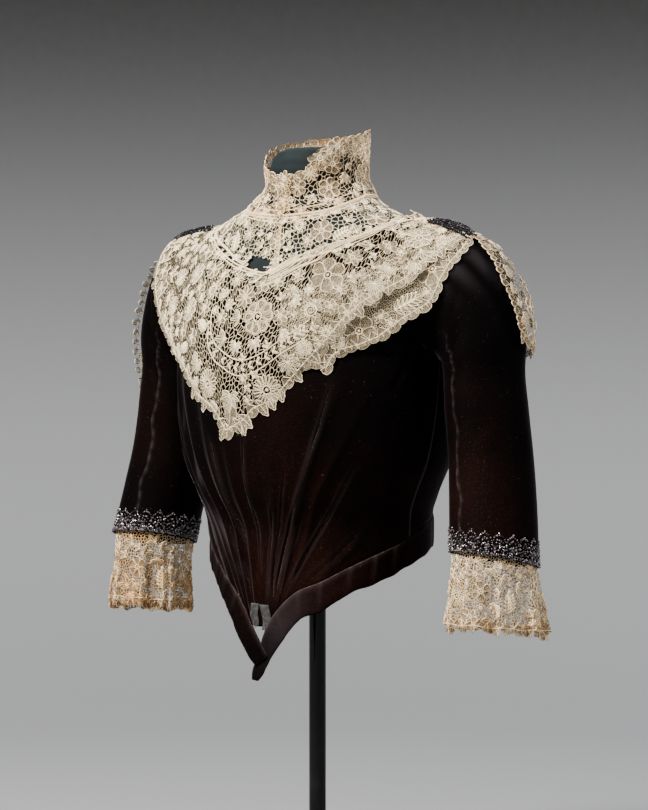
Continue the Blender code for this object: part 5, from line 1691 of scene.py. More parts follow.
over_sheet = LaceSheet(
    CHEST, straight(-91.82, 91.82), outline(OVER_HEM), outline(BERTHA_TOP), (230, 120), "bertha_over",
    over_tree, 1.0, rise_kept=rim_settled
)
over_sheet.fold(ROLL_FOLDS)
OVER_PLACES = table(Place, [
    ("daisy", -18.4, -26.5, 15.5, 0), ("daisy", 16.8, -28.6, 16, 10), ("tip", -3.5, -33.5, 13, 172),
    ("spray", -4, -31, 19, 176), ("tip", -8, -39.5, 10, 150), ("tip", 0.5, -38.5, 9, 205),
    ("broad", 9.9, 1.5, 20, 0), ("star", -1.8, 12.1, 14.5, 12), ("round", 44.8, 19.9, 19, 0),
    ("small", -15.5, 0.9, 9, 0), ("rose", 37.6, 4, 12.5, 0), ("round", 51.6, 2.9, 10, 0),
    ("spray", 61.8, 13.5, 17, 200), ("spray", 67.5, 18.5, 15, 150), ("broad", 79.5, 27, 14, 0),
    ("spray", 27.2, -17.4, 17, 215), ("spray", -27.7, -17.4, 17, 140), ("spray", -1.8, -11.1, 12, 170),
    ("spray", 9.5, -9.5, 12, 200), ("round", -58.2, 31, 12, 0), ("daisy", -66.9, 16.1, 12, 0),
    ("broad", -53.4, 20.6, 13, 0), ("round", -74, 10.2, 11, 0), ("daisy", -62.4, 5, 11, 0),
    ("star", -59.3, -6.3, 11, 0), ("broad", -44.9, 4.1, 14, 0), ("round", -39, 25.4, 11, 0),
    ("rose", -30, 15, 11, 0), ("star", -13.2, 21.8, 10, 0), ("small", 18.6, 19.4, 9, 0),
    ("spray", 29, 9.2, 11, 240), ("small", 49.4, 12.5, 8, 0), ("branch", -42, -12, 11, 100),
    ("daisy", -50, -13, 9, 0), ("spray", 24, -6.5, 10, 250), ("branch", -28, -3, 11, 60),
    ("leaf", 0.5, 22.5, 8, 40), ("daisy", 34.5, -11.5, 9, 0), ("rose", 43.5, -5.2, 8, 0),
    ("star", -73, 22.5, 9, 0), ("small", 30, 21.5, 8, 0),
])
GARLAND = [
    (-24, 2), (-19.2, -10.1), (-7.3, -18.6), (3.5, -20.7), (14.6, -17.1), (24.3, -11), (31.7, -6.6), (36, -3)
]
over_net = net_sheet(
    "lace_over_net", over_sheet, ground_net, "bertha_over", 0.0, low=0.035, high=1.0, sink=0.1
)
over_work = LaceWork(over_sheet)
over_work.put_all(OVER_PLACES)


def garland(work, line):
    """Two cords with pairs of small leaves between them, along a line of angles and rises."""
    steps = np.linspace(0, len(line) - 1, 90)
    angle, rise = (curve_through(np.arange(len(line)), [row[k] for row in line])(steps) for k in range(2))
    for off in (-3.0, 3.0):
        u, share = work.sheet.shares_of(angle, rise + off)
        work.cord_along(u, share, 0.55)
    for i in range(3, 88, 5):
        u, share = work.sheet.shares_of(angle[i:i + 1], rise[i:i + 1])
        way = math.degrees(math.atan2(rise[i + 1] - rise[i - 1], angle[i + 1] - angle[i - 1]))
        for side in (-1, 1):
            leaf = petal(6.2, 3.4, 0.9, 0.8, slanting=True, fine=False)
            work.put(moved(leaf, -90 + side * 42, 0, 0, 0.5), u[0], share[0], way, 0.0)
        spot = work.sheet.at(u, share)[0][0]
        work.spots.append(spot)
        work.radii.append(4.6)


garland(over_work, GARLAND)
ROLL_FROM, ROLL_SHARES = 0.56, (0.80, 0.965)


def outside_roll(u, share, spot):
    """True outside the rolled band below the rim, on the wearer's left."""
    return not (u > ROLL_FROM and ROLL_SHARES[0] < share < ROLL_SHARES[1])


over_work.scatter((10.0, 7.8, 5.9), 900, outside_roll, close=0.93)
along = np.linspace(ROLL_FROM, 0.99, 150)
for k in range(9):
    over_work.cord_along(along, 0.81 + 0.0175 * k + 0.004 * np.sin(38.0 * along + 2.1 * k), 0.5, 0.15)
over_work.scallops(0.012, 13.0, 8.5, inward=7.0, leaves=True)
over_work.scallops(0.0, 7.0, 3.2)
over_work.cord_round(0.012, 500, 0.6)
over_work.cord_round(0.992, 400, 0.8, 0.25)
over_work.cord_round(0.962, 400, 0.6, 0.15)
over_flowers = over_work.finish("lace_over_flowers")
print("over tier faces", len(over_flowers.data.polygons))

# %% The cape
CAPE_FOLDS = table(Fold, [
    ([(96, 36), (98, 24), (101, 12), (104, 0)], -2.2, 4, 0),
    ([(110, 36), (113, 22), (114, 8), (112, -4)], 1.6, 3.4, 0),
    ([(125, 40), (130, 22), (134, 2), (133, -12)], -2.4, 5, 0),
    ([(150, 30), (152, 8), (150, -18)], 1.8, 4, 0), ([(178, 34), (175, 10), (178, -22)], -2.2, 5, 0),
    ([(204, 30), (202, 6), (206, -20)], 1.6, 4.2, 0),
    ([(226, 38), (224, 18), (228, -6), (226, -20)], -2.4, 5, 0),
    ([(246, 36), (248, 20), (246, 2)], 1.6, 3.6, 0),
    ([(262, 36), (261, 20), (258, 4), (256, -10)], -2, 4, 0),
    ([(268, 17), (268, 10), (267.6, -2), (267, -16)], -11, 8, 0),
])


def settled(angle, rise):
    """How much of the cape's own fullness is kept: little where its front edges lie on the shoulders."""
    from_edge = np.minimum(np.abs(angle - 92.0), np.abs(angle - 268.0))
    return 1.0 - 0.85 * clamped((rise - 14.0) / 14.0) * clamped(1.25 - from_edge / 24.0)


def cape_ends(share):
    """The cape's front edges, which come forward a little below the shoulders."""
    forward = 2.4 * np.sin(math.pi * clamped(share / 0.56))
    return 92.18 - forward, 267.82 + 0.3 * forward


cape_sheet = LaceSheet(
    CHEST, cape_ends, outline(CAPE_HEM), outline(CAPE_TOP), (200, 110), "bertha_back", velvet_tree, 1.0,
    rise_kept=settled
)
cape_sheet.fold(CAPE_FOLDS)
CAPE_PLACES = table(Place, [
    ("broad", 180, 0, 20, 0), ("daisy", 160, -12, 16, 0), ("daisy", 201, -13, 16, 0),
    ("spray", 180, -21, 17, 180), ("star", 180, 25, 15, 0), ("round", 152, 12, 17, 0),
    ("round", 209, 12, 17, 0), ("branch", 136, 0, 16, 150), ("branch", 225, -2, 16, 210),
    ("broad", 118, 8, 15, 0), ("broad", 243, 4, 15, 0), ("rose", 166, 38, 12, 0), ("rose", 196, 38, 12, 0),
    ("daisy", 104, 20, 12, 0), ("daisy", 256, 18, 12, 0), ("spray", 128, 28, 15, 150),
    ("spray", 232, 28, 15, 210), ("star", 140, 42, 11, 0), ("star", 220, 42, 11, 0),
    ("round", 99, 3, 11, 0), ("round", 262, -2, 11, 0), ("daisy", 240, -14, 13, 0),
    ("spray", 118, -6, 12, 170), ("small", 110, 34, 9, 0), ("small", 250, 34, 9, 0),
    ("branch", 180, 12, 12, 90), ("spray", 212, -22, 12, 180),
])
cape_net = net_sheet("lace_cape_net", cape_sheet, ground_net, "bertha_back", 0.35, sink=0.1)
cape_work = LaceWork(cape_sheet)
cape_work.put_all(CAPE_PLACES, 0.3)
cape_work.scatter((10.0, 7.5, 5.5), 800, age=0.35)
cape_work.scallops(0.012, 14.0, 8.0, 0.5, inward=7.0, leaves=True)
cape_work.scallops(0.0, 8.0, 3.4, 0.6)
cape_work.cord_round(0.012, 400, 0.65, 0.4)
cape_work.cord_round(0.992, 300, 0.8, 0.3)
for share in np.linspace(0.03, 0.97, 27):
    for u, turn in ((0.004, 90), (0.996, -90)):
        lobe = petal(chance.uniform(8, 11), chance.uniform(7, 9), 1.5, 0.45)
        lobe = moved(lobe, turn, x=3.0 if u < 0.5 else -3.0, lift=0.4)
        cape_work.put(lobe, u, share, chance.uniform(-20, 20), 0.7)
cape_flowers = cape_work.finish("lace_cape_flowers")
print("cape faces", len(cape_flowers.data.polygons))

# %% [markdown]
# ## Yoke and collar
# The yoke lies on the form between the neckline and the collar. Its front edges drift to the wearer's left
# on their way down, and the right half has lost a piece beside them, so its net and flowers stop at a ragged
# gap. The collar stands on the yoke and opens at the front, where each edge is a row of small browned
# scallops.

# %% The yoke
YOKE_STAND = 0.85
YOKE_DRIFT = {1: (10.6, 1.9), -1: (10.0, 0.9)}
FRONT_EDGE_SHARE = {1: 0.006, -1: 0.994}
around_front = np.linspace(0.0, 92.0, 60)
around_back = np.linspace(91.0, 269.0, 120)
form_tree = search_tree([form])


def neck_edges(angles):
    """Rises of the yoke's lower and upper edges, as functions of the angle seen from the chest."""
    low = body_point(angles, edge_height(NECKLINE, angles) + YOKE_STAND)
    high = body_point(angles, edge_height(COLLAR_SEAM, angles))
    return edge_seen(CHEST, angles, low), edge_seen(CHEST, angles, high)


def drifting(side):
    """Ends of a front yoke: its front edge drifts, and its other end is at the shoulder."""
    edge_foot, edge_top = YOKE_DRIFT[side]

    def ends(share):
        front = edge_top + (edge_foot - edge_top) * np.clip(1 - share, -0.1, 1.16)
        outer = np.full(np.shape(share), 91.8 * side)
        return (front, outer) if side > 0 else (outer, front)

    return ends


YOKE_PLACES = {
    1: [
        (56, -59, 732, "round", 13), (42, -66, 722, "small", 8), (79, -55, 729, "branch", 12),
        (101, -26, 745, "round", 13), (74, -30, 756, "star", 11), (28, -62, 738, "rose", 8),
        (30, -76, 704, "leaf", 8), (64, -70, 712, "leaf", 8), (120, -12, 741, "small", 9),
        (92, -48, 735, "leaf", 8), (20, -60, 746, "small", 7),
    ],
    -1: [
        (-28, -57, 749, "round", 13), (-62, -47, 749, "broad", 12), (-40, -63, 730, "star", 10),
        (-12, -61, 742, "small", 9), (-60, -65, 722, "branch", 12), (-88, -45, 741, "round", 12),
        (-20, -70, 717, "leaf", 8), (-112, -20, 744, "small", 9), (-75, -60, 727, "leaf", 8),
        (4, -69, 721, "round", 10),
    ],
}
YOKE_HOLE = np.array([-14.0, -82.0, 698.0])
YOKE_HOLE_HALF = np.array([17.0, 40.0, 8.0])


def whole_cloth(middles):
    """True outside the ragged gap in the right half of the yoke."""
    off = (middles - YOKE_HOLE) / YOKE_HOLE_HALF
    ragged = 1.0 + 0.22 * np.sin(middles[..., 0] * 0.9) + 0.12 * np.sin(middles[..., 0] * 2.1 + 1.0)
    return (off**2).sum(axis=-1) > ragged


def yoke_half(side, label):
    """One front half of the yoke: its net, its raised work and its cords."""
    low, high = neck_edges(around_front if side > 0 else -around_front[::-1])
    sheet = LaceSheet(CHEST, drifting(side), low, high, (110, 60), "yoke_" + label, form_tree, 0.6, 400.0, 10)
    torn = whole_cloth if side < 0 else None
    ground = net_sheet("lace_yoke_net_" + label, sheet, ground_net, "yoke_" + label, 0.05, torn, high=1.04)
    work = LaceWork(sheet)
    for x, y, z, kind, radius in YOKE_PLACES[side]:
        work.put_seen(kind, (x, y, z), radius, chance.uniform(0, 360))
    work.scatter((7.0, 5.2), 420, lambda u, share, spot: side > 0 or bool(whole_cloth(spot)), close=0.98)
    edge = FRONT_EDGE_SHARE[side]
    work.cord_along(np.full(60, edge), np.linspace(0.02, 0.98, 60), 0.7, 0.5)
    for i, share in enumerate(np.linspace(0.04, 0.97, 13)):
        lobe = moved(petal(5.2, 4.6, 1.5, 0.45, fine=False), 90 * side, x=2.0 * side, lift=0.8)
        if side < 0 or i % 2:
            work.put(lobe, edge, share, chance.uniform(-15, 15), 0.55)
    span = np.linspace(0.0, 1.0, 260)
    open_span = span if side > 0 else span[whole_cloth(sheet.at(span, np.full(260, 0.05))[0])]
    for share, size, age in ((0.03, 0.7, 0.2), (0.985, 0.9, 0.45), (0.93, 0.6, 0.3)):
        use = span if share > 0.5 or side > 0 else open_span[open_span < 0.8]
        work.cord_along(use, np.full(use.shape, share), size, age)
    return sheet, ground, work.finish("lace_yoke_flowers_" + label)


yokes = {side: yoke_half(side, label) for side, label in SIDES}
low, high = neck_edges(around_back)
back_yoke_sheet = LaceSheet(
    CHEST, straight(92.3, 267.7), low, high, (130, 40), "yoke_back", form_tree, 0.6, 400.0, 10
)
back_yoke_net = net_sheet("lace_yoke_net_back", back_yoke_sheet, ground_net, "yoke_back", 0.15)
back_yoke = LaceWork(back_yoke_sheet)
back_yoke.scatter((8.0, 6.0), 300, age=0.15)
back_yoke.cord_round(0.03, 200, 0.7, 0.3)
back_yoke.cord_round(0.97, 200, 0.9, 0.4)
back_yoke_flowers = back_yoke.finish("lace_yoke_flowers_back")
print("yoke faces", sum(len(row[2].data.polygons) for row in yokes.values()))

# %% The collar
COLLAR_CENTRE = np.array([0.0, 0.0, 785.0])
COLLAR_STAND = 1.1
COLLAR_TOP_LEFT = table(Edge, [
    (0, 786), (20, 790), (40, 800), (60, 814), (80, 827), (115, 837), (180, 833),
])
COLLAR_TOP_RIGHT = table(Edge, [
    (0, 785), (25, 790), (45, 797), (70, 812), (100, 824), (180, 833),
])
COLLAR_PLACES = {
    1: [
        (16, -51, 778, "round", 10), (45, -34, 777, "round", 12), (54, 8, 790, "broad", 13),
        (47, -42, 764, "small", 8), (46, -30, 802, "round", 11), (30, -48, 792, "star", 9),
        (58, -6, 815, "star", 10), (10, -54, 760, "leaf", 7), (30, 45, 800, "broad", 13),
        (56, -12, 772, "small", 8), (40, 35, 775, "round", 10),
    ],
    -1: [
        (-10, -52, 778, "round", 12), (-8, -54, 760, "small", 8), (-38, -40, 790, "broad", 12),
        (-55, 0, 800, "round", 12), (-40, -38, 768, "leaf", 8), (-30, 45, 800, "broad", 13),
        (-57, -5, 775, "star", 10), (-45, 30, 778, "small", 9),
    ],
}
TOP_FLOWERS = ((39, -42, 809, 13, 20), (46, -35, 816, 11.5, 50), (51, -27, 822, 11, 5))


def collar_half(side, label, top):
    """Half of the standing collar."""
    angles = np.linspace(0.6, 179.9, 90) * side
    seam = body_point(angles, edge_height(COLLAR_SEAM, angles) + COLLAR_STAND)
    rim = body_point(angles, edge_height(top, angles))
    rim = rim + unit(rim * np.array([1.0, 1.0, 0.0])) * 2.0
    low, high = edge_seen(COLLAR_CENTRE, angles, seam), edge_seen(COLLAR_CENTRE, angles, rim)
    ends = straight(1.2, 179.6) if side > 0 else straight(-179.6, -1.2)
    sheet = LaceSheet(COLLAR_CENTRE, ends, low, high, (140, 64), "collar_" + label, form_tree, 0.8, 140.0, 12)
    buckles = table(Fold, [
        ([(14 * side, 6), (22 * side, -6), (26 * side, -20)], -1.2, 3, 0),
        ([(52 * side, 24), (60 * side, 4), (58 * side, -14)], 1, 3.4, 0),
        ([(100 * side, 34), (104 * side, 8), (98 * side, -14)], -1.3, 4, 0),
        ([(150 * side, 30), (146 * side, 4), (152 * side, -10)], 1.1, 4, 0),
    ])
    sheet.fold(buckles)
    ground = net_sheet("lace_collar_net_" + label, sheet, ground_net, "collar_" + label, 0.5, low=-0.06)
    work = LaceWork(sheet)
    for x, y, z, kind, radius in COLLAR_PLACES[side]:
        work.put_seen(kind, (x, y, z), radius, chance.uniform(0, 360), 0.45)
    work.scatter((7.5, 5.6), 420, age=0.45, close=0.95)
    work.scallops(0.985, 13.0, 6.0, 0.8, inward=6.0, upward=True)
    work.scallops(1.0, 7.5, 2.6, 1.0, upward=True)
    if side > 0:
        for x, y, z, radius, turn in TOP_FLOWERS:
            work.put_seen("round", (x, y, z), radius, turn, 0.35)
    work.cord_round(0.0, 200, 0.9, 0.5)
    work.cord_round(0.09, 200, 0.5, 0.4)
    edge = FRONT_EDGE_SHARE[side]
    work.cord_along(np.full(50, edge), np.linspace(0.02, 0.98, 50), 0.7, 0.6)
    for i, share in enumerate(np.linspace(0.04, 1.0, 8)):
        wide = chance.uniform(6.0, 10.0)
        lobe = moved(petal(wide, wide, 1.5, 0.45), 90 * side, 2.5 * side, 0.0, 0.8 + 0.6 * (i % 2))
        work.put(lobe, edge, share, chance.uniform(-35, 35), 0.9)
        if side > 0:
            bloom = MOTIFS["small"](chance.uniform(5.5, 8.5))
            bloom = moved(bloom, x=chance.uniform(-3.0, 3.0), lift=1.6 + 0.7 * (i % 3))
            work.put(bloom, edge, share + chance.uniform(-0.06, 0.06), chance.uniform(0, 360), 0.7)
    return sheet, ground, work.finish("lace_collar_flowers_" + label)


collars = {1: collar_half(1, "left", COLLAR_TOP_LEFT), -1: collar_half(-1, "right", COLLAR_TOP_RIGHT)}
print("collar faces", sum(len(row[2].data.polygons) for row in collars.values()))

# %% [markdown]
# ## Cuff flounces
# A flounce is a strip of the same lace gathered into the sleeve's end, so it flares and waves on its way
# down. Its sheet is seen from a point inside the cuff, all the way round.

# %% The flounces
flounce_net = lace_material("ivory_flounce_net", cell=3.3, bar=0.13)
RUFFLE_LENGTH, RUFFLE_TUCK, RUFFLE_SEAT = 76.0, 6.0, 2.85
RUFFLE_DROP, RUFFLE_FLARE, RUFFLE_WAVES, RUFFLE_WAVE_DEPTH = 69.5, 6.5, 9, 4.2
RUFFLE_AGE = {1: 0.62, -1: 1.05}
SLEEVE_END = np.array([235.0, -1.0, 397.0])
RUFFLE_HANG = np.array([0.06, -0.02, -0.998])


def flounce_edge(turn, down, side):
    """Points of the flounce at a distance below the sleeve's end."""
    free = down / (RUFFLE_LENGTH - RUFFLE_TUCK)
    row = {name: float(SLEEVE_AT[name](1.0)) for name in SLEEVE_AT}
    spread = free * (RUFFLE_FLARE + RUFFLE_WAVE_DEPTH * np.cos(RUFFLE_WAVES * turn)) - RUFFLE_SEAT
    tilt = math.radians(row["tilt_front"]) * (1 - free / 2)
    middle = np.array([row["x"], row["y"], row["z"]]) + RUFFLE_HANG * down
    wide, deep = (row["half_width"] + spread) * np.cos(turn), (row["half_depth"] + spread) * np.sin(turn)
    points = middle + np.stack([wide, deep * math.cos(tilt), -deep * math.sin(tilt)], axis=-1)
    return points * np.array([side, 1.0, 1.0])


def ring_edge(centre, points):
    """The rise of a closed edge, by the angle at which it is seen."""
    angle, rise = seen_from(centre, points)
    order = np.argsort(angle)
    angle, rise = angle[order], rise[order]
    return lambda at: np.interp((np.asarray(at, float) + 180.0) % 360.0 - 180.0, angle, rise, period=360.0)


def flounce(side, label):
    """One gathered flounce."""
    centre = (SLEEVE_END + RUFFLE_HANG * 30.0) * np.array([side, 1.0, 1.0])
    turn = np.linspace(0, math.tau, 360, endpoint=False)
    low, high = (ring_edge(centre, flounce_edge(turn, down, side)) for down in (RUFFLE_DROP, 0.0))
    sheet = LaceSheet(
        centre, straight(-180.0, 180.0), low, high, (220, 50), "cuff_lace_" + label, None, 0.0, 120.0, 6, True
    )
    turn = np.radians(sheet.angle)
    free = np.clip(1 - sheet.shares[None, :], 0, 1.2)
    ripple = 2.2 * np.sin(17 * turn + 1.3 * side) + 1.5 * np.sin(26 * turn + 0.7)
    ripple = ripple + 1.4 * np.sin(5 * turn + side)
    if side < 0:
        ripple = 0.6 * ripple - 5.0 - 4.0 * clamped(-np.sin(turn))
    age = RUFFLE_AGE[side]
    sheet.points = sheet.points + sheet.normals * (ripple * free**0.8)[..., None]
    sheet.points[-1] = sheet.points[0]
    sheet.find_normals()
    ground = net_sheet("lace_flounce_net_" + label, sheet, flounce_net, "cuff_lace_" + label, age)
    work = LaceWork(sheet)
    for i, angle in enumerate(np.linspace(-165, 165, 10)):
        kind = ("round", "branch", "broad", "spray", "daisy")[i % 5]
        u = (angle + 180.0) / 360.0
        work.put(MOTIFS[kind](11.0), u, 0.30 + 0.08 * (i % 3), 180.0 if kind == "spray" else 0.0, age, 11.0)
    work.scatter((8.5, 6.5, 5.0), 600, lambda u, share, spot: share < 0.93, age, 0.86)
    work.scallops(0.02, 10.0, 6.0, age + 0.1, inward=5.0, uneven=0.15)
    work.scallops(0.0, 6.5, 3.0, age + 0.2, uneven=0.15)
    work.cord_round(0.015, 300, 0.6, age)
    return sheet, ground, work.finish("lace_flounce_flowers_" + label)


flounces = {side: flounce(side, label) for side, label in SIDES}
print("flounce faces", sum(len(row[2].data.polygons) for row in flounces.values()))

# %% [markdown]
# ## Jet beads
# Faceted jet edges the sleeves in small arches and lies in close rows on each shoulder. There are hundreds
# of beads on each cuff, so Geometry Nodes puts one faceted bead on every point of a plan: the plan is a mesh
# of points, and the tree turns and scales each bead a little differently, with a fixed seed.

# %% A tree that puts beads on points
def jet_material(name, least, shine=0.8):
    """Black glass with painted silver glints on some facets, which are also metallic: more of them with a
    lower least.
    """
    looks = {"Coat_Weight": 0.25 * shine, "Coat_Roughness": 0.12, "Specular_IOR_Level": shine}
    made, tree, shader = new_material(name, **looks)
    # Painted glints: some facets get a silver colour and turn metallic.
    bloom = noise(tree, object_place(tree), 260.0, 2.0, 0.6)
    colour = blend(
        tree, between(tree, bloom, least, least + 0.19), (0.007, 0.006, 0.008, 1), (0.24, 0.195, 0.205, 1)
    )
    rough = maths(tree, "MULTIPLY_ADD", bloom, 0.45, 0.06)
    silver = between(tree, bloom, least + 0.05, least + 0.2)
    connect(tree, shader, Base_Color=colour, Roughness=rough, Metallic=silver)
    return made


BEAD_SEED = 3


def geometry_tree(name, takes, sizes, gives):
    """A Geometry Nodes tree that takes a plan, sizes and a finish."""
    inputs = [(takes, "Geometry", None)] + sizes + [("Finish", "Material", None)]
    return new_group(name, inputs, [(gives, "Geometry")], kind="Geometry")


def end_tree(tree, start, end, instances):
    """Realizes a tree's instances and sets their material."""
    real = add(tree, "GeometryNodeRealizeInstances", {"Geometry": instances})
    sockets = {"Geometry": real.outputs[0], "Material": start.outputs["Finish"]}
    tree.links.new(add(tree, "GeometryNodeSetMaterial", sockets).outputs[0], end.inputs[0])
    return tree


def bead_tree():
    """Geometry Nodes: one faceted bead on each point."""
    sizes = [("Bead Size", "Float", 0.002), ("Seed", "Int", BEAD_SEED)]
    tree, start, end = geometry_tree("beads_on_points", "Points", sizes, "Beads")
    half = times(tree, start.outputs["Bead Size"], 0.5)
    bead = add(tree, "GeometryNodeMeshIcoSphere", {"Radius": half, "Subdivisions": 1})
    turn = add(tree, "FunctionNodeRandomValue", {"Seed": start.outputs["Seed"]}, data_type="FLOAT_VECTOR")
    turn.inputs[1].default_value = (math.tau, math.tau, math.tau)
    size = add(
        tree, "FunctionNodeRandomValue", {2: 0.72, 3: 1.25, "Seed": start.outputs["Seed"]}, data_type="FLOAT"
    )
    scale = add(
        tree, "ShaderNodeVectorMath", {0: (1.0, 1.0, 1.0), "Scale": size.outputs[1]}, operation="SCALE"
    )
    sockets = {
        "Points": start.outputs["Points"], "Instance": bead.outputs["Mesh"], "Rotation": turn.outputs[0]
    }
    placed = add(tree, "GeometryNodeInstanceOnPoints", {**sockets, "Scale": scale.outputs[0]})
    return end_tree(tree, start, end, placed.outputs[0])


jet = jet_material("faceted_jet", 0.45)
black_jet = jet_material("black_jet", 0.80, 0.18)
beads_on_points = bead_tree()


def run_tree(name, tree, plan, finish, values):
    """Runs a Geometry Nodes tree on a plan and keeps the result as a plain mesh."""
    run = plan.modifiers.new("Nodes", "NODES")
    run.node_group = tree
    for item in tree.interface.items_tree:
        if item.in_out == "INPUT" and item.name in values:
            run[item.identifier] = values[item.name]
    graph = bpy.context.evaluated_depsgraph_get()
    mesh = bpy.data.meshes.new_from_object(plan.evaluated_get(graph))
    mesh.name = name
    bpy.data.objects.remove(plan)
    mesh.materials.clear()
    mesh.materials.append(finish)
    made = bpy.data.objects.new(name, mesh)
    put_in_scene(made)
    return made


def beads(name, spots, size, finish, slot):
    """Beads of one size at some places."""
    plan = new_mesh(name + "_plan", spots, np.zeros((0, 4), int), finish, smooth=False)
    values = {"Bead Size": size * MM, "Finish": finish, "Seed": BEAD_SEED}
    return dress(run_tree(name, beads_on_points, plan, finish, values), slot)

# %% [markdown]
# The border on a cuff is planned in two sizes: the way round the arm, and the height above the sleeve's end.
# Each arch has an outer and an inner row, a stem with a knot, and a bead at its crown, over three straight
# rows.

# %% The cuffs' bead borders
TAPE_WALL = 0.5
TRIM_SCALLOPS = 20
TRIM_HEIGHT = 25.7
FOREARM = 390.0
BEAD = 2.1
FILLING_BEADS = 340


def arch_plan():
    """Places of one arch's beads: shares of its width, and heights."""
    plan = []
    for k in range(7):
        plan.append(((k + 0.5) / 7, 1.2))
        plan.append(((k + 0.2) / 7, 3.4))
    for k in range(6):
        plan.append(((k + 0.5) / 6, 7.0 + 1.2 * math.cos(math.tau * k / 3)))
    for k in range(11):
        turn = math.pi * k / 10
        plan.append((0.5 + 0.47 * math.cos(turn), 12.0 + 11.5 * math.sin(turn) ** 0.8))
    for k in range(7):
        turn = math.pi * k / 6
        plan.append((0.5 + 0.27 * math.cos(turn), 10.6 + 7.6 * math.sin(turn) ** 0.8))
    plan += [
        (0.5, 9.2), (0.5, 11.4), (0.5, 13.6), (0.36, 11.5), (0.64, 11.5), (0.5, 25.6), (0.0, 14.0),
        (0.0, 16.4)
    ]
    return plan


def cuff_border(side, label):
    """The net tape that carries the beads, and the beads."""
    u, v = share_grid(240, 8)
    height = v * (TRIM_HEIGHT - 3.0 + 5.0 * np.abs(np.sin(math.pi * TRIM_SCALLOPS * u)))
    points = sleeve_point(1.0 - height / FOREARM, -360.0 * u * side, side, 0.75)
    tape = cloth_mesh("jet_border_tape_" + label, points, jet_tape)
    thicken(tape, TAPE_WALL)
    dress(tape, "jet", "cuff_trim_" + label)
    plan = np.array(arch_plan())
    wide = np.concatenate([(plan[:, 0] + i) / TRIM_SCALLOPS for i in range(TRIM_SCALLOPS)])
    high = np.tile(plan[:, 1], TRIM_SCALLOPS) + chance.uniform(-0.8, 0.8, len(wide))
    wide = np.concatenate(
        (wide + chance.uniform(-0.002, 0.002, len(wide)), chance.uniform(0, 1, FILLING_BEADS))
    )
    high = np.concatenate((high, chance.uniform(0.6, 13.0, FILLING_BEADS)))
    out = 0.9 + BEAD / 2 + chance.uniform(-0.3, 0.7, len(wide))
    spots = sleeve_point(1.0 - high / FOREARM, -360.0 * wide * side, side, out)
    return tape, beads("jet_border_beads_" + label, spots, BEAD, jet, "jet")


def jet_tape_material(name, bar, shine=0.5):
    """Black tape under the beads: net with narrow bars, close cloth with wide ones."""
    made, tree, shader = new_material(name, Roughness=0.6, Specular_IOR_Level=shine)
    cover, height = net_gaps(tree, 2.0, bar)
    colour = blend(
        tree, noise(tree, object_place(tree), 700.0), (0.006, 0.006, 0.007, 1), (0.030, 0.029, 0.031, 1)
    )
    connect(tree, shader, Base_Color=colour, Alpha=cover)
    raise_surface(tree, shader, height, 0.0004)
    return made


jet_tape = jet_tape_material("black_net_tape", 0.2)
close_tape = jet_tape_material("black_close_tape", 2.0, 0.15)
borders = {side: cuff_border(side, label) for side, label in SIDES}
print("beads on a cuff", len(arch_plan()) * TRIM_SCALLOPS + FILLING_BEADS)

# %% The shoulders' bead strips
SHOULDER_TRIM_ANGLE, SHOULDER_TRIM_WIDTH, SHOULDER_TRIM_RISE = 89.8, 6.0, (23.0, 33.5)
STRIP_BEADS = 26
laid_tree = search_tree(velvet_pieces + [over_net, over_flowers, cape_net, cape_flowers])


def flat_on(angle, rise):
    """A strip lies flat on the lace."""
    return np.zeros(np.shape(angle))


def shoulder_strip(side, label):
    """Close rows of beads on a narrow tape."""
    middle = SHOULDER_TRIM_ANGLE * side
    ends = straight(middle - SHOULDER_TRIM_WIDTH / 2, middle + SHOULDER_TRIM_WIDTH / 2)
    low, high = (lambda angle, rise=rise: np.full(np.shape(angle), rise) for rise in SHOULDER_TRIM_RISE)
    sheet = LaceSheet(
        CHEST, ends, low, high, (12, 48), "shoulder_trim_" + label, laid_tree, 1.0, 600.0, 3,
        rise_kept=flat_on
    )
    rows = (sheet.shares > -0.01) & (sheet.shares < 1.01)
    tape = cloth_mesh("jet_strip_tape_" + label, sheet.points[:, rows], close_tape)
    dress(tape, "jet", "shoulder_trim_" + label)
    spots = []
    for i, row in enumerate((0.06, 0.24, 0.41, 0.59, 0.76, 0.94)):
        uneven = row + chance.uniform(-0.03, 0.03, STRIP_BEADS)
        points, normals = sheet.at(uneven, np.linspace(0.0, 1.0, STRIP_BEADS))
        spots.append(points + normals * (0.4 if i % 2 else 1.0))
    return tape, beads("jet_strip_beads_" + label, np.concatenate(spots), 2.5, black_jet, "jet")


strips = {side: shoulder_strip(side, label) for side, label in SIDES}
print("bead strips", len(strips))

# %% [markdown]
# ## Small things
# A row of little cream beads follows the cords at the yoke's lower edge, long overcast stitches join collar
# and yoke, and grey tapes with wire hooks hang at the front point. The stitches follow a line, so they are a
# second Geometry Nodes tree: the line is cut into even steps, and each step gets one slanting stitch.

# %% Cream beads on the yoke's edge
cream = lace_material("cream_beads")
spots = []
for side, (sheet, ground, flowers) in yokes.items():
    span = np.linspace(0.02, 0.97, 150)
    points, normals = sheet.at(span, np.full(150, 0.065))
    use = whole_cloth(points) if side < 0 else np.ones(150, bool)
    spots.append((points + normals * 0.7)[use])
cream_beads = beads("cream_beads", np.concatenate(spots), 1.5, cream, "lace")
print("cream beads", sum(len(row) for row in spots))

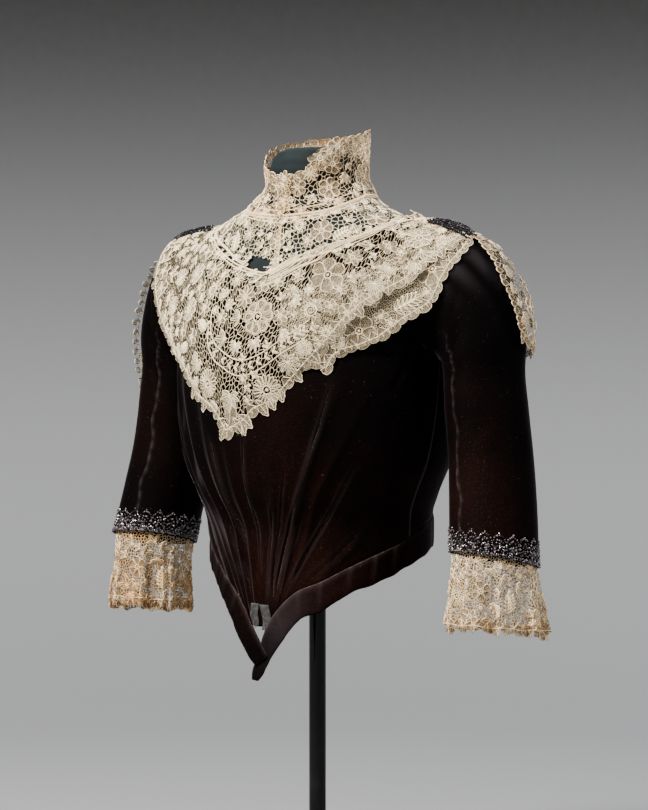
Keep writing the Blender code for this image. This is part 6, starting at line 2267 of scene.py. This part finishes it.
# %% Stitches along a line
def stitch_tree():
    """Geometry Nodes: a slanting stitch at even steps along a line."""
    labels = (("Step", 0.0025), ("Stitch Length", 0.003), ("Thread", 0.0003), ("Slant", 0.6))
    sizes = [(label, "Float", value) for label, value in labels]
    tree, start, end = geometry_tree("stitches_on_line", "Line", sizes, "Stitches")
    line = add(tree, "GeometryNodeMeshToCurve", {"Mesh": start.outputs["Line"]})
    sockets = {"Curve": line.outputs[0], "Length": start.outputs["Step"]}
    steps = add(tree, "GeometryNodeResampleCurve", sockets, mode="LENGTH")
    shape = {"Radius": start.outputs["Thread"], "Depth": start.outputs["Stitch Length"]}
    stitch = add(tree, "GeometryNodeMeshCylinder", {"Vertices": 6, "Side Segments": 1, **shape})
    tangent = add(tree, "GeometryNodeInputTangent")
    along = add(tree, "FunctionNodeAlignRotationToVector", {"Vector": tangent.outputs[0]}, axis="Z")
    slant = add(tree, "ShaderNodeCombineXYZ", {0: start.outputs["Slant"]})
    turns = {0: along.outputs[0], 1: slant.outputs[0]}
    leaning = add(tree, "FunctionNodeRotateRotation", turns, rotation_space="LOCAL")
    sockets = {"Points": steps.outputs[0], "Instance": stitch.outputs["Mesh"], "Rotation": leaning.outputs[0]}
    return end_tree(tree, start, end, add(tree, "GeometryNodeInstanceOnPoints", sockets).outputs[0])


stitches_on_line = stitch_tree()


def stitches(name, line, finish, slot, step, length, thread, slant):
    """A row of stitches along a line of points in millimetres."""
    mesh = bpy.data.meshes.new(name + "_line")
    edges = [(i, i + 1) for i in range(len(line) - 1)]
    mesh.from_pydata((np.asarray(line) * MM).tolist(), edges, [])
    plan = bpy.data.objects.new(name + "_line", mesh)
    put_in_scene(plan)
    values = {
        "Step": step * MM, "Stitch Length": length * MM, "Thread": thread * MM, "Slant": slant,
        "Finish": finish
    }
    return dress(run_tree(name, stitches_on_line, plan, finish, values), slot)


around = np.linspace(2.5, 357.5, 400)
seam_line = body_offset(around, edge_height(COLLAR_SEAM, around) + 0.4, np.full(400, 1.1))
collar_stitches = stitches("collar_stitches", seam_line, cream, "lace", 2.3, 3.6, 0.35, 1.0)
print("stitch faces", len(collar_stitches.data.polygons))

# %% Tapes and hooks at the front point
Tape = namedtuple("Tape", "angle top foot width lean")
TAPES = {"left": Tape(3.6, 344.0, 317.5, 9.0, 1.6), "right": Tape(-3.0, 345.0, 322.0, 8.5, -1.0)}
TAPE_OUT, HOOK_BEND = 1.1, 1.7


def tape_material():
    """Grey twilled cotton tape."""
    made, tree, shader = new_material("grey_tape", Roughness=0.85)
    split = add(tree, "ShaderNodeSeparateXYZ", {0: on_cloth(tree)})
    slanting = maths(tree, "ADD", split.outputs[0], split.outputs[1])
    rib = maths(tree, "SINE", times(tree, slanting, math.tau / 0.7))
    worn = noise(tree, object_place(tree), 260.0, 3.0)
    colour = blend(tree, between(tree, worn, 0.35, 0.65), (0.011, 0.011, 0.012, 1), (0.042, 0.041, 0.042, 1))
    connect(tree, shader, Base_Color=colour)
    raise_surface(tree, shader, rib, 0.0003, 0.5)
    return made


def tube(name, line, radius, finish, sides=8):
    """A round wire along a line of points."""
    line = np.asarray(line, float)
    ways = unit(np.gradient(line, axis=0))
    aside = unit(np.cross(ways, np.array([0.3, 0.2, 1.0])))
    third = np.cross(ways, aside)
    turn = np.linspace(0, math.tau, sides, endpoint=False)
    off = np.cos(turn)[None, :, None] * aside[:, None] + np.sin(turn)[None, :, None] * third[:, None]
    rings = line[:, None] + radius * off
    faces = grid_faces(sides, len(line) - 1, closed=True)
    return new_mesh(name, np.swapaxes(rings, 0, 1), faces[:, ::-1], finish)


def hook_line(angle, height, out):
    """A small wire hook: down, round and up again."""
    turn = np.linspace(0, 1.25 * math.pi, 14)
    across = np.concatenate((np.full(4, -HOOK_BEND), -HOOK_BEND * np.cos(turn)))
    down = np.concatenate((np.linspace(5.0, 0.6, 4), -HOOK_BEND * np.sin(turn)))
    foot = body_offset(np.array(angle), np.array(height), np.array(out))
    side = unit(np.array([math.cos(math.radians(angle)), math.sin(math.radians(angle)), 0.0]))
    return foot + across[:, None] * side + down[:, None] * np.array([0.0, 0.0, 1.0])


def hanging_tape(label, spec):
    """A short tape that hangs from under the velvet's hem, with its hook."""
    u, v = np.meshgrid(np.linspace(-0.5, 0.5, 9), np.linspace(0, 1, 15), indexing="ij")
    height = spec.foot + (spec.top - spec.foot) * v
    turn = spec.angle + math.degrees(1 / 95.0) * (spec.width * u + spec.lean * np.sin(v * 4.0))
    out = TAPE_OUT + 0.9 * np.sin(v * 5.5 + spec.angle) * (1 - v) + 0.8 * u * (1 - v) * spec.lean
    tape = cloth_mesh("tape_" + label, body_offset(turn, height, out), tape_cloth)
    thicken(tape, TAPE_WALL)
    hook = tube("hook_" + label, hook_line(spec.angle + 0.6, spec.foot - 0.5, TAPE_OUT + 0.8), 0.45, wire)
    return dress(tape, "tape", "waist_tape_" + label), dress(hook, "black_steel")


def wire_material():
    """Dull steel wire, a little tarnished."""
    made, tree, shader = new_material("hook_wire", Metallic=1.0)
    tarnish = noise(tree, object_place(tree), 500.0, 3.0)
    colour = blend(tree, between(tree, tarnish, 0.4, 0.65), (0.42, 0.42, 0.40, 1), (0.14, 0.12, 0.10, 1))
    connect(tree, shader, Base_Color=colour, Roughness=maths(tree, "MULTIPLY_ADD", tarnish, 0.3, 0.2))
    raise_surface(tree, shader, tarnish, 0.0001, 0.3)
    return made


tape_cloth, wire = tape_material(), wire_material()
tapes = {label: hanging_tape(label, spec) for label, spec in TAPES.items()}
print("tapes", len(tapes))

# %% [markdown]
# ## The cut of each cloth
# A cut is the size that a sheet was cut to before it was sewn, gathered or draped, as far as it shows. A
# width is taken round the body or the arm, and a length from the hem to the top edge. An area is less than
# width times length where the cut is shaped, as at an armhole, a neckline or a point.

# %% Cut sizes
Cut = namedtuple("Cut", "width length area held rests_on with_pieces", defaults=[()])
